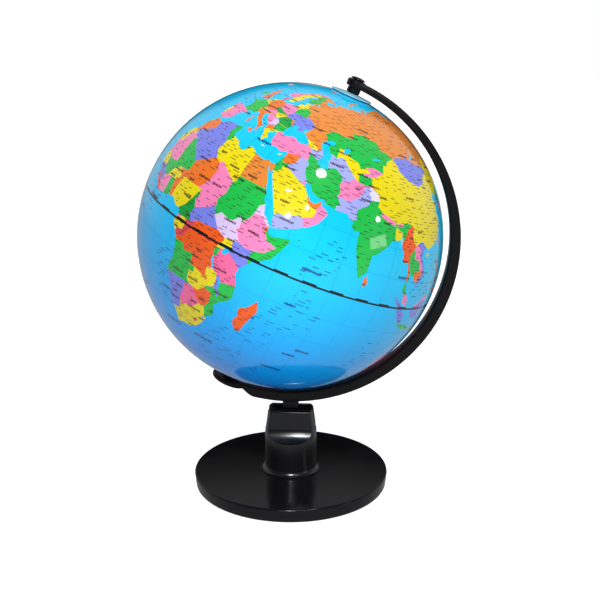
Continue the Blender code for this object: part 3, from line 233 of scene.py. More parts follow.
# Ink of each region, in painting order: a later one covers an earlier one. The first letter is the ink.
# An indented line carries on the region above it.
COUNTRIES = """
A -25 35, 180 35, 180 82, -25 82
O -180 60, -160 60, -160 72, -180 72
Y 73.7 39.5, 74.8 37.3, 78 35.6, 79 33, 78.5 31.3, 81 30, 84.5 28.8, 88.1 27.9, 88.9 27.3, 90.5 28.1,
    92 27.7, 94 29, 97.2 28.3, 98.7 27.5, 98 25, 99.2 22.5, 101 21.5, 102.2 22.4, 105.3 23.3, 108 21.5,
    108 17.5, 112 17.5, 123 25, 124 32, 123 38.5, 124.3 40, 126.9 41.7, 130.6 42.5, 131 45, 135 48.4,
    131 47.8, 127.5 50, 125.5 53, 121 53.3, 119.8 50, 116.7 49.8, 87.8 49.2, 85.7 48.4, 83 47.2,
    82.5 45.2, 80.2 45, 80.2 42.2, 76 40.3
V 87.8 49.2, 92 50.7, 98 50.5, 98.5 52, 102 51.3, 107 49.8, 113 49.6, 116.7 49.8, 119.8 47, 116 46.5,
    112 44.9, 111.5 43.4, 105 41.6, 97 42.7, 91 45.1, 90.8 46.8
G 124.3 40, 126.9 41.7, 130.6 42.5, 131 40, 128 38.4, 126 37.8, 123 38.5
R 126 37.8, 128 38.4, 130 38, 130 33, 125 33, 124 37.5
P 128 30, 134 30, 147 42, 147 46, 139 46, 135 38, 129 35
G 46.7 48.5, 49 46, 50 45.5, 50 42, 52.5 42, 54.5 42, 56 41.3, 56 45, 58.5 45.6, 61 44.3, 62 43.5,
    66.5 42.8, 68 41, 71 42.3, 75 43, 80.2 42.2, 80.2 45, 82.5 45.2, 83 47.2, 85.7 48.4, 87.3 49.1, 83 51,
    80 50.8, 76.8 54.3, 71 54.2, 69 55.3, 61 54, 61.5 51.5, 56 50.8, 52 51.6, 48.5 50.5
Y 56 45, 56 41.3, 58 42.5, 60 42, 64 38.9, 66.5 37.4, 68 37, 67.7 39.5, 70 40.2, 73 40.8, 71 42.2, 68 41,
    66.5 42.8, 62 43.5, 61 44.3, 58.5 45.6
H 50 42, 52.5 42, 54.5 42, 56 41.3, 58 42.5, 60 42, 64 38.9, 66.5 37.4, 64.5 36.5, 62.5 35.3, 61.2 35.6,
    60 37, 57 38.2, 54 37.3, 51 37
P 71 42.2, 73 40.8, 70 40.2, 69.5 39.5, 73.7 39.5, 76 40.3, 80.2 42.2, 75 43
G 67.7 39.5, 68 37, 71.5 36.7, 74.8 37.3, 73.7 39.5, 69.5 39.5, 70 40.2
P 61.2 35.6, 60.6 33.7, 61.7 31.4, 60.9 29.8, 66.3 29.8, 69.3 31.9, 71 34, 71.5 36.3, 74.8 37.3,
    71.5 36.7, 68 37, 66.5 37.4, 64.5 36.5, 62.5 35.3
H 61.6 24, 61.7 26.5, 63.2 27.2, 60.9 29.8, 66.3 29.8, 69.3 31.9, 71 34, 71.5 36.3, 74 36.9, 74 34.5,
    75 32.5, 74.5 31, 73 29.9, 70 27.8, 70 26, 71 24.6, 68.2 23.4
W 73.8 36.9, 78 35.6, 79 33, 77 32.7, 75 32.5, 74 34.5
G 66 23.6, 68.2 23.4, 71 24.6, 70 26, 70 27.8, 73 29.9, 74.5 31, 75 32.5, 77 32.7, 79 33, 78.5 31.3,
    81 30, 80.1 28.8, 84 27.3, 88 26.4, 88.1 27.9, 88.9 27.3, 89 26.8, 92 26.9, 91.7 27.8, 94 29,
    97.2 28.3, 97 27, 95 26.5, 94 23.5, 93 22.2, 92 24.5, 89.8 25.8, 88.5 26.3, 88.3 24.5, 89 22, 90 20,
    95 10, 92 8, 82 10, 78 6, 76 6, 71 14, 66 20
P 80.1 28.8, 81 30, 84.5 28.8, 88.1 27.9, 88 26.4, 84 27.3
P 88.9 27.3, 90.5 28.1, 92 27.7, 92 26.9, 89 26.8
Y 88.3 24.5, 88.6 26.4, 89.8 25.8, 92 25, 92 23.8, 92.6 21, 89 21
O 79 5, 83 5, 83 9, 80.5 10.3, 79.3 9
E 92.6 21, 93 22.2, 94 23.5, 95 26.5, 97.2 28.3, 98.7 27.5, 98 25, 99.2 22.5, 101 21.5, 100 20.4, 97.8 18,
    98.8 15.5, 99.6 12, 98.8 10, 96 14, 93 16
G 100 20.4, 97.8 18, 98.8 15.5, 99.6 12, 98.8 10, 97.8 8, 100 6.5, 102 6, 101.5 8, 100 11, 102.6 11.5,
    102.6 13.6, 105.5 14.3, 104.7 17, 101 17.6, 101 19.6
P 101 21.5, 102.2 22.4, 104.8 20, 104 19, 107.5 15, 106 14, 105.5 14.3, 104.7 17, 101 17.6, 101 19.6,
    100 20.4
O 102.6 13.6, 105.5 14.3, 107.5 14.5, 107.5 12.4, 105.8 11.2, 104.4 10.2, 102.6 11.5
V 102.2 22.4, 105.3 23.3, 108 21.5, 110 15, 110 10, 104.5 8, 104.4 10.2, 105.8 11.2, 107.5 12.4, 107.5 15,
    104 19, 104.8 20
P 100 6.5, 102 6.2, 105 3, 104.5 1, 100 3.5
V 94 6.5, 106.5 -2, 107 -6, 104 -7, 94 2
G 104 -6, 128 -6, 128 -11, 104 -9
V 108 2, 110 1.2, 112 1.4, 115 4, 117.8 4.2, 120 3, 120 -5, 108 -5
P 109 1.8, 110 1.2, 112 1.4, 115 4, 117.8 4.2, 120 5, 117 8, 112 5
V 118.5 -7, 126 -7, 126 2.5, 118.5 2.5
V 126 -5, 141 -5, 141 -10, 130 -10, 130 3, 126 3
Y 141 -1, 156 -1, 156 -12, 141 -12
O 119 4, 128 4, 128 20, 119 20
R 119.5 21.5, 123 21.5, 123 26, 119.5 26
P 112 -9, 155 -10, 156 -45, 112 -45
G 165 -33, 180 -33, 180 -48, 165 -48
P 26 35.3, 30 35.8, 36 35.9, 36.7 36.8, 42.4 37.2, 44.8 37.2, 44.4 39.8, 43.5 41.1, 41.5 41.6, 36 42.5,
    28 42, 26.5 41.8, 26 40, 25.7 38
O 35.7 34.6, 36.4 34.2, 36 32.8, 38.8 33.4, 41 34.5, 41.3 36.5, 42.4 37.2, 36.7 36.8, 35.7 36
G 34.2 31.3, 34.9 29.4, 36 29.2, 37.5 31, 37 31.5, 39 32, 38.8 33.4, 36 32.8, 36.4 34.2, 35.7 34.6,
    34.5 33
H 38.8 33.4, 39 32, 42 31, 46.5 29.1, 48.6 29.9, 47.7 31, 46 33, 45.5 35, 46.2 35.8, 44.8 37.2, 42.4 37.2,
    41.3 36.5, 41 34.5
G 44.8 37.2, 46.2 35.8, 45.5 35, 46 33, 47.7 31, 48.6 29.9, 52 27, 57 26.3, 58 25, 61.6 24.8, 61.7 26.5,
    63.2 27.2, 60.9 29.8, 61.7 31.4, 60.6 33.7, 61.2 35.6, 60 37, 57 38.2, 54 37.4, 50 38, 48 39.6,
    46 38.9, 44.4 39.8
Y 34.9 29.4, 34 28, 40 19, 42.8 16.4, 44 17.4, 47.5 17, 49 18.6, 52 19, 55 20, 55.7 22, 55.2 22.7,
    52.5 22.9, 51.5 24.3, 50.8 24.7, 50.5 27, 48.5 28.5, 46.5 29.1, 42 31, 39 32, 37 31.5, 37.5 31,
    36 29.2
P 46.5 29.1, 48.8 28.5, 48.6 29.9, 47.5 30.1
O 51 26.5, 50.8 24.7, 51.5 24.3, 52.5 22.9, 55.2 22.7, 56 24, 56.5 26.5, 54 25
P 52 19, 55 20, 55.7 22, 55.2 22.7, 56 24, 56.5 26.5, 61 24, 60 20, 56 16, 53 16.6
H 42.8 16.4, 44 17.4, 47.5 17, 49 18.6, 52 19, 53 16.6, 54 15, 55 12, 45 12, 42.6 12.6, 41.8 15
Y 40 43.5, 41.5 41.5, 43.5 41.1, 46.6 41.2, 46.5 41.9, 43 43.2
H 43.5 41.1, 44.4 39.8, 46 38.9, 48.5 38.3, 51 40, 48.5 41.9, 46.6 41.2
P 4 58, 7 57.5, 11 58.8, 12.5 61, 12 63.5, 14.5 66, 18 68.5, 21 69, 25.7 69, 28 70, 31 69.7, 32 71.5,
    20 71.5, 8 66, 4 62
Y 11 58.8, 12.5 61, 12 63.5, 14.5 66, 18 68.5, 20.6 69, 24 67.9, 24.2 65.7, 21 64, 18 61, 19.5 59.7,
    16.5 55, 12.5 55
G 20.6 69, 24 67.9, 24.2 65.7, 21 63.2, 20.5 60.3, 24 59.7, 27.8 60.5, 31.5 62.8, 29.6 64.5, 30 67.7,
    28.5 69, 29 70, 27 70, 25.7 69
Y 20.8 56, 21 57.8, 23.5 59.6, 28 59.6, 27.5 57.5, 28 56.2, 26.5 54.5, 23.5 54, 22.8 55, 21 55.3
G 23.5 54, 26.5 55.5, 28 56.2, 31 55.7, 32.5 53.3, 31.5 51.5, 24 51.6
V 24 51.6, 31.5 51.5, 34 52.2, 40 49.6, 38.2 47, 36 45, 33.5 44, 31 46, 29.5 45.3, 28 48.3, 26 48,
    22.3 48.6
P 14.2 54, 14.7 51, 18.8 49.6, 22.7 49.1, 24 51, 23.5 54, 19.6 54.8
O 6 51.8, 6.5 49.3, 8 48.9, 7.6 47.6, 13 47.6, 12.4 50.2, 14.7 51, 14.2 54, 10 55, 8.5 55, 7 53.8
G -5.5 49, -1.5 43.4, 3.2 42.4, 7.5 43.7, 7 46, 6 46.3, 7.6 47.6, 8 48.9, 6.5 49.4, 4 49.9, 2.5 51.2,
    -3 50.2
Y 2.5 51.2, 4 49.9, 6.5 49.4, 6 51.8, 7 53.8, 4.5 53.4
R 8 55, 10 54.9, 13 55.6, 11 58, 8 57.8
P -9.5 44, -1.5 43.4, 3.2 42.4, 4.5 41, -1 36, -6 35.9, -7.4 37, -7 41.8, -9.5 42
Y -10 42, -7 41.8, -7.4 37, -10 36.8
O 7.5 43.7, 7 46, 10.5 46.8, 13.7 46.5, 13.5 45.4, 14.5 43.5, 19 40, 15.6 36, 8 38.5
Y 6 46.3, 7.6 47.6, 10 47.5, 10.5 46.6, 8 45.9
P 10 47.4, 13 47.8, 15 48.9, 16.9 48.6, 16 46.8, 12.5 46.8, 10.5 46.7
D 12.4 50.2, 14.8 51, 18.8 49.7, 22.4 49, 20 48.2, 17 48, 15 48.9
Y 16 46.8, 17 48, 20 48.4, 22.8 48.1, 21 46.2, 18.8 45.9
P 13.5 45.4, 16 46.5, 18.8 45.9, 19.2 44, 18.5 42, 15 43
L 18.8 45.9, 21 46.2, 22.7 44.5, 22.5 42.4, 18.9 42.3, 19.2 44
O 18.8 42.3, 22.5 42.3, 22.8 41.3, 20.8 40, 18.8 40
Y 19 39.8, 20.9 40.9, 26.4 41.7, 26.4 40.8, 25 39, 27 34.5, 22 34.5
D 20.3 46.2, 22.9 48.1, 26.6 48.2, 28.2 46, 30 45.3, 28.6 43.8, 22.7 44.3, 21 45.5
G 22.5 44.2, 28.6 43.7, 28.5 42, 26 41.6, 22.8 41.3
O -8 49.8, 2.5 50.5, 2.5 54, 0 60, -9 60
G -10.5 51, -5.8 51, -5.5 55.5, -10.5 55.5
R -25 63, -13 63, -13 67, -25 67
Y 31.8 34.3, 34.8 34.3, 34.8 35.8, 31.8 35.8
P -19 -36, 53 -36, 53 12.2, 43.6 12, 38 22, 33 30, 32 33, 10 38, -19 38
O -14 28, -8.7 27.7, -8.7 28.7, -5 29.8, -1.2 32.1, -1.8 36, -6 37, -12 34
Y -18 20.8, -13 21.3, -13 23, -12 23.4, -12 26, -8.7 26, -8.7 27.7, -14 28, -18 25
P -18 16, -16.5 16.2, -14 16.6, -12.2 14.8, -5.5 15.5, -5.6 16.5, -6.5 25, -4.8 25, -8.7 27.3, -8.7 26,
    -12 26, -12 23.4, -13 23, -13 21.3, -18 20.8
G -12.2 14.8, -11.4 12.2, -8 10.3, -6 10.3, -5.3 11.2, -4 13.3, -1 15, 4 15.3, 4.2 19.1, 3.2 19.1,
    1.2 21.1, -4.8 25, -6.5 25, -5.6 16.5, -5.5 15.5
V -8.7 27.3, -4.8 25, 1.2 21.1, 3.2 19.1, 4.2 19.1, 12 23.5, 9.5 26.3, 10 30.5, 8.3 32.5, 7.5 34,
    8.3 37.8, -2 37, -1.8 35, -1.2 32.1, -5 29.8, -8.7 28.7
G 9.5 30.2, 11.5 32.2, 11.5 33.2, 12 38, 8.3 38, 7.5 34, 8.3 32.5
Y 10 30.5, 9.5 26.3, 12 23.5, 14.2 22.6, 16 23.4, 24 19.5, 25 20, 25 34, 11.5 34, 11.5 32.4
A 25 22, 37 22, 36.5 24, 34 27.8, 34.9 29.5, 34.2 31.4, 33 33, 25 33
G 24 8.7, 26 10.3, 29 9.6, 31 9.8, 33 12, 34 10.6, 36 12.7, 36.5 14.3, 37 17, 39 18, 38.5 22, 31 22,
    25 22, 25 20, 24 19.5, 24 15.7, 22.3 13, 23 11
L 24 8.7, 27.4 5.1, 30.8 3.6, 34 4.2, 35.9 4.7, 34 7.5, 33 8, 34 8.6, 34 10.6, 33 12, 31 9.8, 29 9.6,
    26 10.3
P 14.2 22.6, 16 23.4, 24 19.5, 24 15.7, 22.3 13, 23 11, 19 9, 15.5 7.5, 14 10, 15 10, 14.5 12.8, 13.5 14,
    15.5 17, 15.9 20.5, 15 21.5
O 4.2 19.1, 4 15.3, 1 15, 0.2 14.9, 3.6 11.8, 4 13.4, 7 13.1, 12 13.1, 13.5 13.8, 15.5 17, 15.9 20.5,
    15 21.5, 14.2 22.6, 12 23.5
Y 2.7 6, 2.8 9, 3.6 11.8, 4 13.4, 7 13.1, 12 13.1, 14 13, 14.5 12.8, 13 10, 11 6.6, 9 4.4, 6 3, 3 4
D 9 4, 9 4.8, 11 6.6, 13 10, 14.5 12.8, 15 10, 14 10, 15.5 7.5, 14.7 5, 16.1 2.2, 13.2 2.2, 9 2.2
V 15.5 7.5, 19 9, 23 11, 24 8.7, 27.4 5.1, 22.8 4.5, 18.6 4.3, 18 3.5, 16.1 2.2, 14.7 5
Y 8 1, 11.3 1, 11.3 2.2, 13.2 2.2, 14.5 1, 14 -2.4, 11.5 -2.5, 11 -4, 8 -2
R 11 -4.2, 11.5 -2.5, 14 -2.4, 14.5 1, 13.2 2.2, 16.1 2.2, 18.6 3.5, 17.5 -0.5, 16 -2.2, 15.5 -4.2,
    13 -4.8, 11.9 -5.2
E 12 -6, 13 -4.8, 15.5 -4.2, 16 -2.2, 17.5 -0.5, 18.6 3.5, 18.6 4.3, 22.8 4.5, 27.4 5.1, 30.8 3.6, 31 2,
    29.8 0.5, 29.4 -1.5, 29 -3, 29.4 -4.5, 30.5 -8.2, 28.5 -8.5, 28.7 -12, 29.8 -12.2, 29.8 -13.3, 27 -12,
    24 -11, 22 -11.2, 21.8 -7.3, 17.5 -8, 16.5 -6
Y 29.4 -1.5, 29.8 0.5, 31 2, 30.8 3.6, 34 4.2, 34.5 1.2, 34 -1
V 34 -1, 34.5 1.2, 34 4.2, 36 4.5, 38.5 3.6, 41.8 4, 41 3, 41 -1, 41.6 -1.8, 42 -4, 39.5 -5, 37.6 -3
K 29.4 -4.5, 29 -3, 30.7 -1, 34 -1, 37.6 -3, 39.5 -4.8, 41 -6, 41 -10.6, 35 -11.6, 34 -9.6, 31 -8.6,
    30.3 -7.5
G 29 -1.3, 30.8 -1, 30.7 -3.3, 29.3 -4.5, 29 -3
P 33 8, 34 7.5, 35.9 4.7, 38.5 3.6, 41.8 4, 45 5, 48 8, 44 9, 42.8 10.6, 41.8 11, 42.4 12.5, 39.5 14.6,
    37 14.3, 36.5 14.3, 36 12.7, 34 10.6, 34 8.6
L 36.5 14.3, 39.5 14.6, 42.4 12.5, 43.2 12.7, 42 15, 39 18.2, 38.5 18, 37 17
O 41.8 11, 42.8 10.9, 43.7 11.5, 43.3 12.8, 42.4 12.5
G 42.8 10.9, 44 9, 48 8, 45 5, 41.8 4, 41 3, 41 -1, 41.6 -2, 45 -1, 55 8, 55 13, 44 12, 43.2 11.5
G 11 -6, 16.5 -6, 17.5 -8, 21.8 -7.3, 22 -11.2, 24 -11, 24 -13, 22 -13, 22 -16.3, 23.3 -17.5, 18.5 -17.4,
    11 -17.3
Y 22 -13, 24 -13, 24 -11, 27 -12, 29.8 -13.3, 29.8 -12.2, 28.7 -12, 28.5 -8.5, 31 -8.6, 33 -9.5,
    33.3 -13.5, 30.3 -15, 30 -15.8, 27.2 -18, 25.3 -17.8, 23.3 -17.5, 22 -16.3
G 34.6 -11.5, 41 -10.4, 42 -15, 37 -19, 36 -25, 33 -27, 32 -26.8, 32 -24.5, 31.3 -22.4, 32.8 -20,
    33 -16.6, 30.3 -15.8, 30.3 -15, 33.3 -13.9, 34.4 -15, 35.2 -17.1, 35.8 -15, 34.6 -14
V 33 -9.5, 34 -9.6, 34.6 -11.5, 34.6 -14, 35.8 -15, 35.2 -17.1, 34.4 -15, 33 -13.8, 33.3 -12
E 25.3 -17.8, 27.2 -18, 30 -15.8, 30.3 -15.8, 33 -16.6, 32.8 -20, 31.3 -22.4, 29.3 -22.2, 27.5 -20.7
K 20 -22, 21 -18.3, 25.3 -17.8, 27.5 -20.7, 29.3 -22.2, 26 -25, 23 -25.4, 20.8 -26.8, 20 -24.8
V 10 -17.3, 18.5 -17.4, 23.3 -17.5, 25.2 -17.8, 21 -18.3, 21 -22, 20 -22, 20 -28.5, 17 -28.8, 13 -29
Y 13 -29, 17 -28.8, 20 -28.5, 20 -24.8, 20.8 -26.8, 23 -25.4, 26 -25, 29.3 -22.2, 31.3 -22.4, 32 -24.5,
    32 -26, 33.5 -27, 33 -30, 27 -36, 16 -36
R 27 -29.6, 28.5 -28.6, 29.4 -29.5, 28 -30.6
V 31 -26.6, 32 -26, 32 -27.2, 31 -27.2
E 42 -11, 52 -11, 52 -27, 42 -27
Y -18 13, -18 16, -16.5 16.2, -14 16.6, -12.2 14.8, -11.4 12.4, -16.8 12.4
V -15.5 11, -13.7 12.6, -11.4 12.4, -8 10.3, -8 8, -9 7.4, -10.5 8.5, -11 10, -13 9, -15 9.5
R -13.8 9.2, -13 9, -11 10, -10.5 8.5, -9 7.4, -7.5 5.8, -7.5 4, -12 6
P -7.5 4, -7.5 5.8, -8.4 7.5, -8 10.3, -5.5 10.3, -2.7 9.6, -3 4.5
G -3 4.5, -2.7 9.6, -2.8 11, 0 11, 0.6 8, 1.2 5.8, 1 4.8
O 1.2 5.8, 0.6 8, 0 11, 2.3 12.4, 3.6 11.8, 2.8 9, 2.7 6
Y -5.3 10.4, -2.8 11, 0 11, 2.3 12.4, 0.2 14.9, -1 15, -4 13.3, -5.3 11.4
P -170 35, -50 35, -50 84, -170 84
Y -125.5 49, -95 49, -89 48, -83 46, -82.5 42, -79 43, -75 45, -70.5 46, -67 47, -66 44, -75 34, -79 24,
    -97 25.5, -97.2 26, -99.5 27.5, -103 29, -106.5 31.8, -111 31.4, -114.8 32.6, -117.1 32.5, -126 34
Y -141 60.3, -141 71, -169 72, -169 52, -150 57, -137 58.5, -130 55, -130 56.5, -135 59.7
G -97.2 26, -99.5 27.5, -103 29, -106.5 31.8, -111 31.4, -114.8 32.6, -117.1 32.5, -118 20, -92.2 14.3,
    -91.8 16, -90.5 17.8, -89 18, -85 20, -86 22, -96 22
O -92.2 14.3, -91.8 16, -90.5 17.8, -89 18, -82 16, -83 11.5, -86 11, -92 12
V -86 11, -83 11.5, -82 10, -77 9.5, -77.2 7.8, -80 6, -87 9
W -75 60, -10 59, -10 84, -62 84, -75 79
R -86 19, -64 17, -64 24, -86 24
G -82 13, -34 13, -34 -35, -82 -35
O -79 2, -77 1, -75 0, -70 -4, -70 0, -67.5 2, -67.8 6.2, -72 7.2, -73 9, -71 12.5, -76 12.5, -79 8
V -73 9, -72 7.2, -67.8 6.2, -67 1.5, -64 2, -64 4, -61 5, -60 8.5, -60 12, -72 12.5
Y -61 5, -60 8.5, -57 7, -50.5 5, -52 2, -57 1.9, -60 3
P -81.5 1.5, -77 1, -75 0, -78.5 -4.8, -82 -4.5
Y -82 -4, -78.5 -4.8, -75 0, -70 -4, -73 -9.5, -70.5 -11, -69 -15, -70.3 -18.4, -77 -18, -83 -8
V -69 -17.5, -69 -12, -65 -10, -60.5 -13.7, -58 -17.5, -62 -22, -66 -22, -68 -22.5, -69.5 -17.7
P -62 -22, -58 -20, -54.5 -24, -54.6 -27, -58.6 -27.2
Y -66 -22, -62 -22, -58 -25, -58.6 -27.2, -54 -26, -57.5 -30.2, -58.3 -34, -55 -38, -60 -56, -68.5 -56,
    -69 -52, -72 -50, -71 -35, -68.5 -27
P -57.5 -30.2, -53 -33, -52 -36, -58.5 -34.5
O -70.3 -18.4, -69.5 -17.7, -68 -22.5, -68.5 -27, -71 -35, -72 -50, -69 -52, -68.5 -56, -78 -56, -78 -18.4
W -180 -60, 180 -60, 180 -90, -180 -90
"""

INKS = {
    "Y": (0.84, 0.71, 0.004),
    "G": (0.012, 0.52, 0.070),
    "D": (0.006, 0.36, 0.050),
    "O": (0.88, 0.19, 0.018),
    "E": (0.90, 0.11, 0.008),
    "A": (0.80, 0.26, 0.040),
    "P": (0.95, 0.24, 0.51),
    "K": (0.93, 0.14, 0.36),
    "V": (0.19, 0.23, 0.82),
    "H": (0.38, 0.42, 0.92),
    "L": (0.72, 0.57, 0.90),
    "R": (0.76, 0.070, 0.09),
    "W": (0.78, 0.74, 0.88),
}
SEA_INK = (0.003, 0.60, 0.95)
INNER_SHEET = (0.70, 0.72, 0.74, 0.0)

spin_joint = next(joint for joint in frame["joints"] if joint["name"] == "globe_spin")
BALL_CENTRE = Vector(spin_joint["pos_m"])
POLE = Vector(spin_joint["axis"]).normalized()
POLE_TILT = math.atan2(POLE.x, POLE.z)
POLAR = Matrix.Translation(BALL_CENTRE) @ Matrix.Rotation(POLE_TILT, 4, "Y")
BALL_R = 0.1000
BALL_WALL = 0.0018
POLE_HOLE_R = 0.0060
FRONT_LONGITUDE = 51.6
PRINTED_LATITUDES = {
    -90: -90, -60: -61.5, -35: -37, -25.5: -27, -12: -12.3, 0: 0, 4.3: 3.2, 8: 6.9, 12: 11.6, 22.5: 23.4,
    30: 30.5, 33: 33.7, 36: 36.6, 38: 39.2, 45: 47.4, 60: 62.2, 72: 73, 90: 90,
}
GRID_STEP = 3.0
GRID_ROWS = 28
DATE_LINE_LATITUDES = (68.9, 65, -78, -60, 60, 72)
EDGE_STEP = 2.2
SEAM_LATITUDE = 0.086
GRATICULE_STEP = 10.0
RULE_HALF_WIDTH = 0.10
EQUATOR_HALF_WIDTH = 0.33
TO_BALL = POLAR @ Matrix.Rotation(math.radians(-90 - FRONT_LONGITUDE), 4, "Z")


def read_outline(text):
    """Turns 'lon lat, lon lat' into points, with each latitude where the formed sheet puts it."""
    points = [tuple(float(number) for number in pair.split()) for pair in text.split(",")]
    true, printed = list(PRINTED_LATITUDES), list(PRINTED_LATITUDES.values())
    return [(lon, float(np.interp(lat, true, printed))) for lon, lat in points]


def fine_edges(points):
    """Adds points along the straight sides of a closed outline, so that they can bend round the ball."""
    finer = []
    for first, second in zip(points, points[1:] + points[:1]):
        steps = max(1, math.ceil(math.dist(first, second) / EDGE_STEP))
        for step in range(steps):
            share = step / steps
            finer.append(tuple(a + (b - a) * share for a, b in zip(first, second)))
    return finer


def inside(outline, spots):
    """Which of the spots lie inside a closed outline."""
    x, y = spots[:, 0], spots[:, 1]
    found = np.zeros(len(spots), bool)
    for (x0, y0), (x1, y1) in zip(outline, outline[1:] + outline[:1]):
        if y0 != y1:
            crosses = (y0 > y) != (y1 > y)
            found ^= crosses & (x < x0 + (y - y0) * (x1 - x0) / (y1 - y0))
    return found


def print_map():
    """Triangulates the whole map, with every coast and border as edges, and inks each triangle."""
    land = [read_outline(text) for text in LAND.values()]
    water = [read_outline(text) for text in WATER.values()]
    islands = [read_outline(text) for text in ISLANDS.values()]
    records = COUNTRIES.replace("\n    ", " ").strip().splitlines()
    countries = [(record[0], read_outline(record[2:])) for record in records]
    top = 90 - math.degrees(math.asin(POLE_HOLE_R / BALL_R))
    spots = []
    edges = []
    numbers = {}

    def spot(lon, lat):
        key = (round(min(max(lon, -180.0), 180.0), 4), round(min(max(lat, -top), top), 4))
        if key not in numbers:
            numbers[key] = len(spots)
            spots.append(Vector(key))
        return numbers[key]

    def line(points, closed):
        chain = [spot(*point) for point in points]
        last = chain[:1] if closed else []
        edges.extend(pair for pair in zip(chain, chain[1:] + last) if pair[0] != pair[1])

    for outline in land + water + islands + [outline for ink, outline in countries]:
        line(fine_edges(outline), True)
    longitudes = [-180 + GRID_STEP * step for step in range(int(360 / GRID_STEP) + 1)]
    for lat in (-top, -SEAM_LATITUDE, SEAM_LATITUDE, top):
        line([(lon, lat) for lon in longitudes], False)
    rows = [GRID_STEP * step for step in range(-GRID_ROWS, GRID_ROWS + 1) if step]
    coast_ends = [read_outline(f"0 {lat}")[0][1] for lat in DATE_LINE_LATITUDES]
    side = sorted(set(rows + coast_ends + [-top, -SEAM_LATITUDE, SEAM_LATITUDE, top]))
    line([(-180, lat) for lat in side], False)
    line([(180, lat) for lat in side], False)
    for lat in rows:
        # Near the poles the meridians close up, so fewer points are enough.
        thin = 1 if abs(lat) < 60 else 2 if abs(lat) < 76 else 4
        for lon in longitudes[::thin]:
            spot(lon, lat)

    corners, _, faces, _, _, _ = delaunay_2d_cdt(spots, edges, [], 0, 1e-5)
    corners = np.array([tuple(corner) for corner in corners])
    faces = np.array([tuple(face) for face in faces])
    middles = corners[faces].mean(1)
    on_land = np.zeros(len(faces), bool)
    for outline in land:
        on_land |= inside(outline, middles)
    for outline in water:
        on_land &= ~inside(outline, middles)
    for outline in islands:
        on_land |= inside(outline, middles)
    colours = np.tile(np.array([*SEA_INK, 0.0]), (len(faces), 1))
    for ink, outline in countries:
        colours[inside(outline, middles) & on_land] = (*INKS[ink], 1.0)
    return corners, faces, middles, colours


def add_piece(name, mesh, material, body, nodes):
    """Puts a finished mesh in the scene, on its body, in place of its plain nodes."""
    piece = bpy.data.objects.new(name, mesh)
    bpy.context.scene.collection.objects.link(piece)
    mesh.materials.append(material)
    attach(piece, body)
    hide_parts(*nodes)


def half_ball(name, keep):
    """Wraps the kept triangles round the ball, and gives the sheet its wall, closed at both rims."""
    used = np.unique(print_faces[keep])
    shape = bmesh.new()
    ink = shape.loops.layers.float_color.new("print_ink")
    lon, lat = np.radians(print_corners[used]).T
    wrapped = np.stack([np.cos(lat) * np.cos(lon), np.cos(lat) * np.sin(lon), np.sin(lat)], -1) * BALL_R
    verts = {int(number): shape.verts.new(place) for number, place in zip(used, wrapped)}
    for face, colour in zip(print_faces[keep], print_colours[keep]):
        made = shape.faces.new([verts[int(number)] for number in face])
        for loop in made.loops:
            loop[ink] = colour
    bmesh.ops.remove_doubles(shape, verts=shape.verts, dist=3e-6)
    grown = bmesh.ops.extrude_face_region(shape, geom=shape.faces[:], use_keep_orig=True)["geom"]
    for part in grown:
        if isinstance(part, bmesh.types.BMVert):
            part.co = part.co.normalized() * (BALL_R - BALL_WALL)
        if isinstance(part, bmesh.types.BMFace):
            for loop in part.loops:
                loop[ink] = INNER_SHEET
    bmesh.ops.recalc_face_normals(shape, faces=shape.faces)
    middle_r = BALL_R - BALL_WALL / 2
    outwards = [vert.co.normalized() * (1 if vert.co.length > middle_r else -1) for vert in shape.verts]
    for face in shape.faces:
        face.smooth = True
    mesh = bpy.data.meshes.new(name)
    shape.to_mesh(mesh)
    shape.free()
    turn = TO_BALL.to_3x3()
    mesh.transform(TO_BALL)
    mesh.normals_split_custom_set_from_vertices([turn @ normal for normal in outwards])
    return mesh


class Signal:
    """A shader socket that Python's arithmetic works on. Each step adds a Math node."""

    def __init__(self, tree, socket=None):
        self.tree = tree
        self.socket = socket

    def node(self, kind, settings, output, **sockets):
        """Adds a node: its type, its settings, the output to read, then values or links by socket."""
        made = self.tree.nodes.new(kind)
        for name, value in settings.items():
            setattr(made, name, value)
        for name, value in sockets.items():
            port = made.inputs[int(name[1:])] if name[1:].isdigit() else made.inputs[name]
            if isinstance(value, Signal):
                self.tree.links.new(value.socket, port)
            else:
                port.default_value = value
        return Signal(self.tree, made.outputs[output])

    def math(self, operation, *values):
        sockets = {f"i{number}": value for number, value in enumerate(values)}
        return self.node("ShaderNodeMath", {"operation": operation}, 0, **sockets)

    def mix(self, first, second):
        """Blends two colours by this signal."""
        return self.node("ShaderNodeMix", {"data_type": "RGBA"}, 2, i0=self, i6=first, i7=second)

    def noise(self, place, scale, detail=2.0):
        return self.node("ShaderNodeTexNoise", {}, "Fac", Vector=place, Scale=scale, Detail=detail)

    def __add__(self, other):
        return self.math("ADD", self, other)

    def __sub__(self, other):
        return self.math("SUBTRACT", self, other)

    def __rsub__(self, other):
        return self.math("SUBTRACT", other, self)

    def __mul__(self, other):
        return self.math("MULTIPLY", self, other)

    def __truediv__(self, other):
        return self.math("DIVIDE", self, other)

    def __lt__(self, other):
        return self.math("LESS_THAN", self, other)

    def __gt__(self, other):
        return self.math("GREATER_THAN", self, other)

    def __abs__(self):
        return self.math("ABSOLUTE", self)

    def __or__(self, other):
        return self.math("MAXIMUM", self, other)

    __rmul__ = __mul__


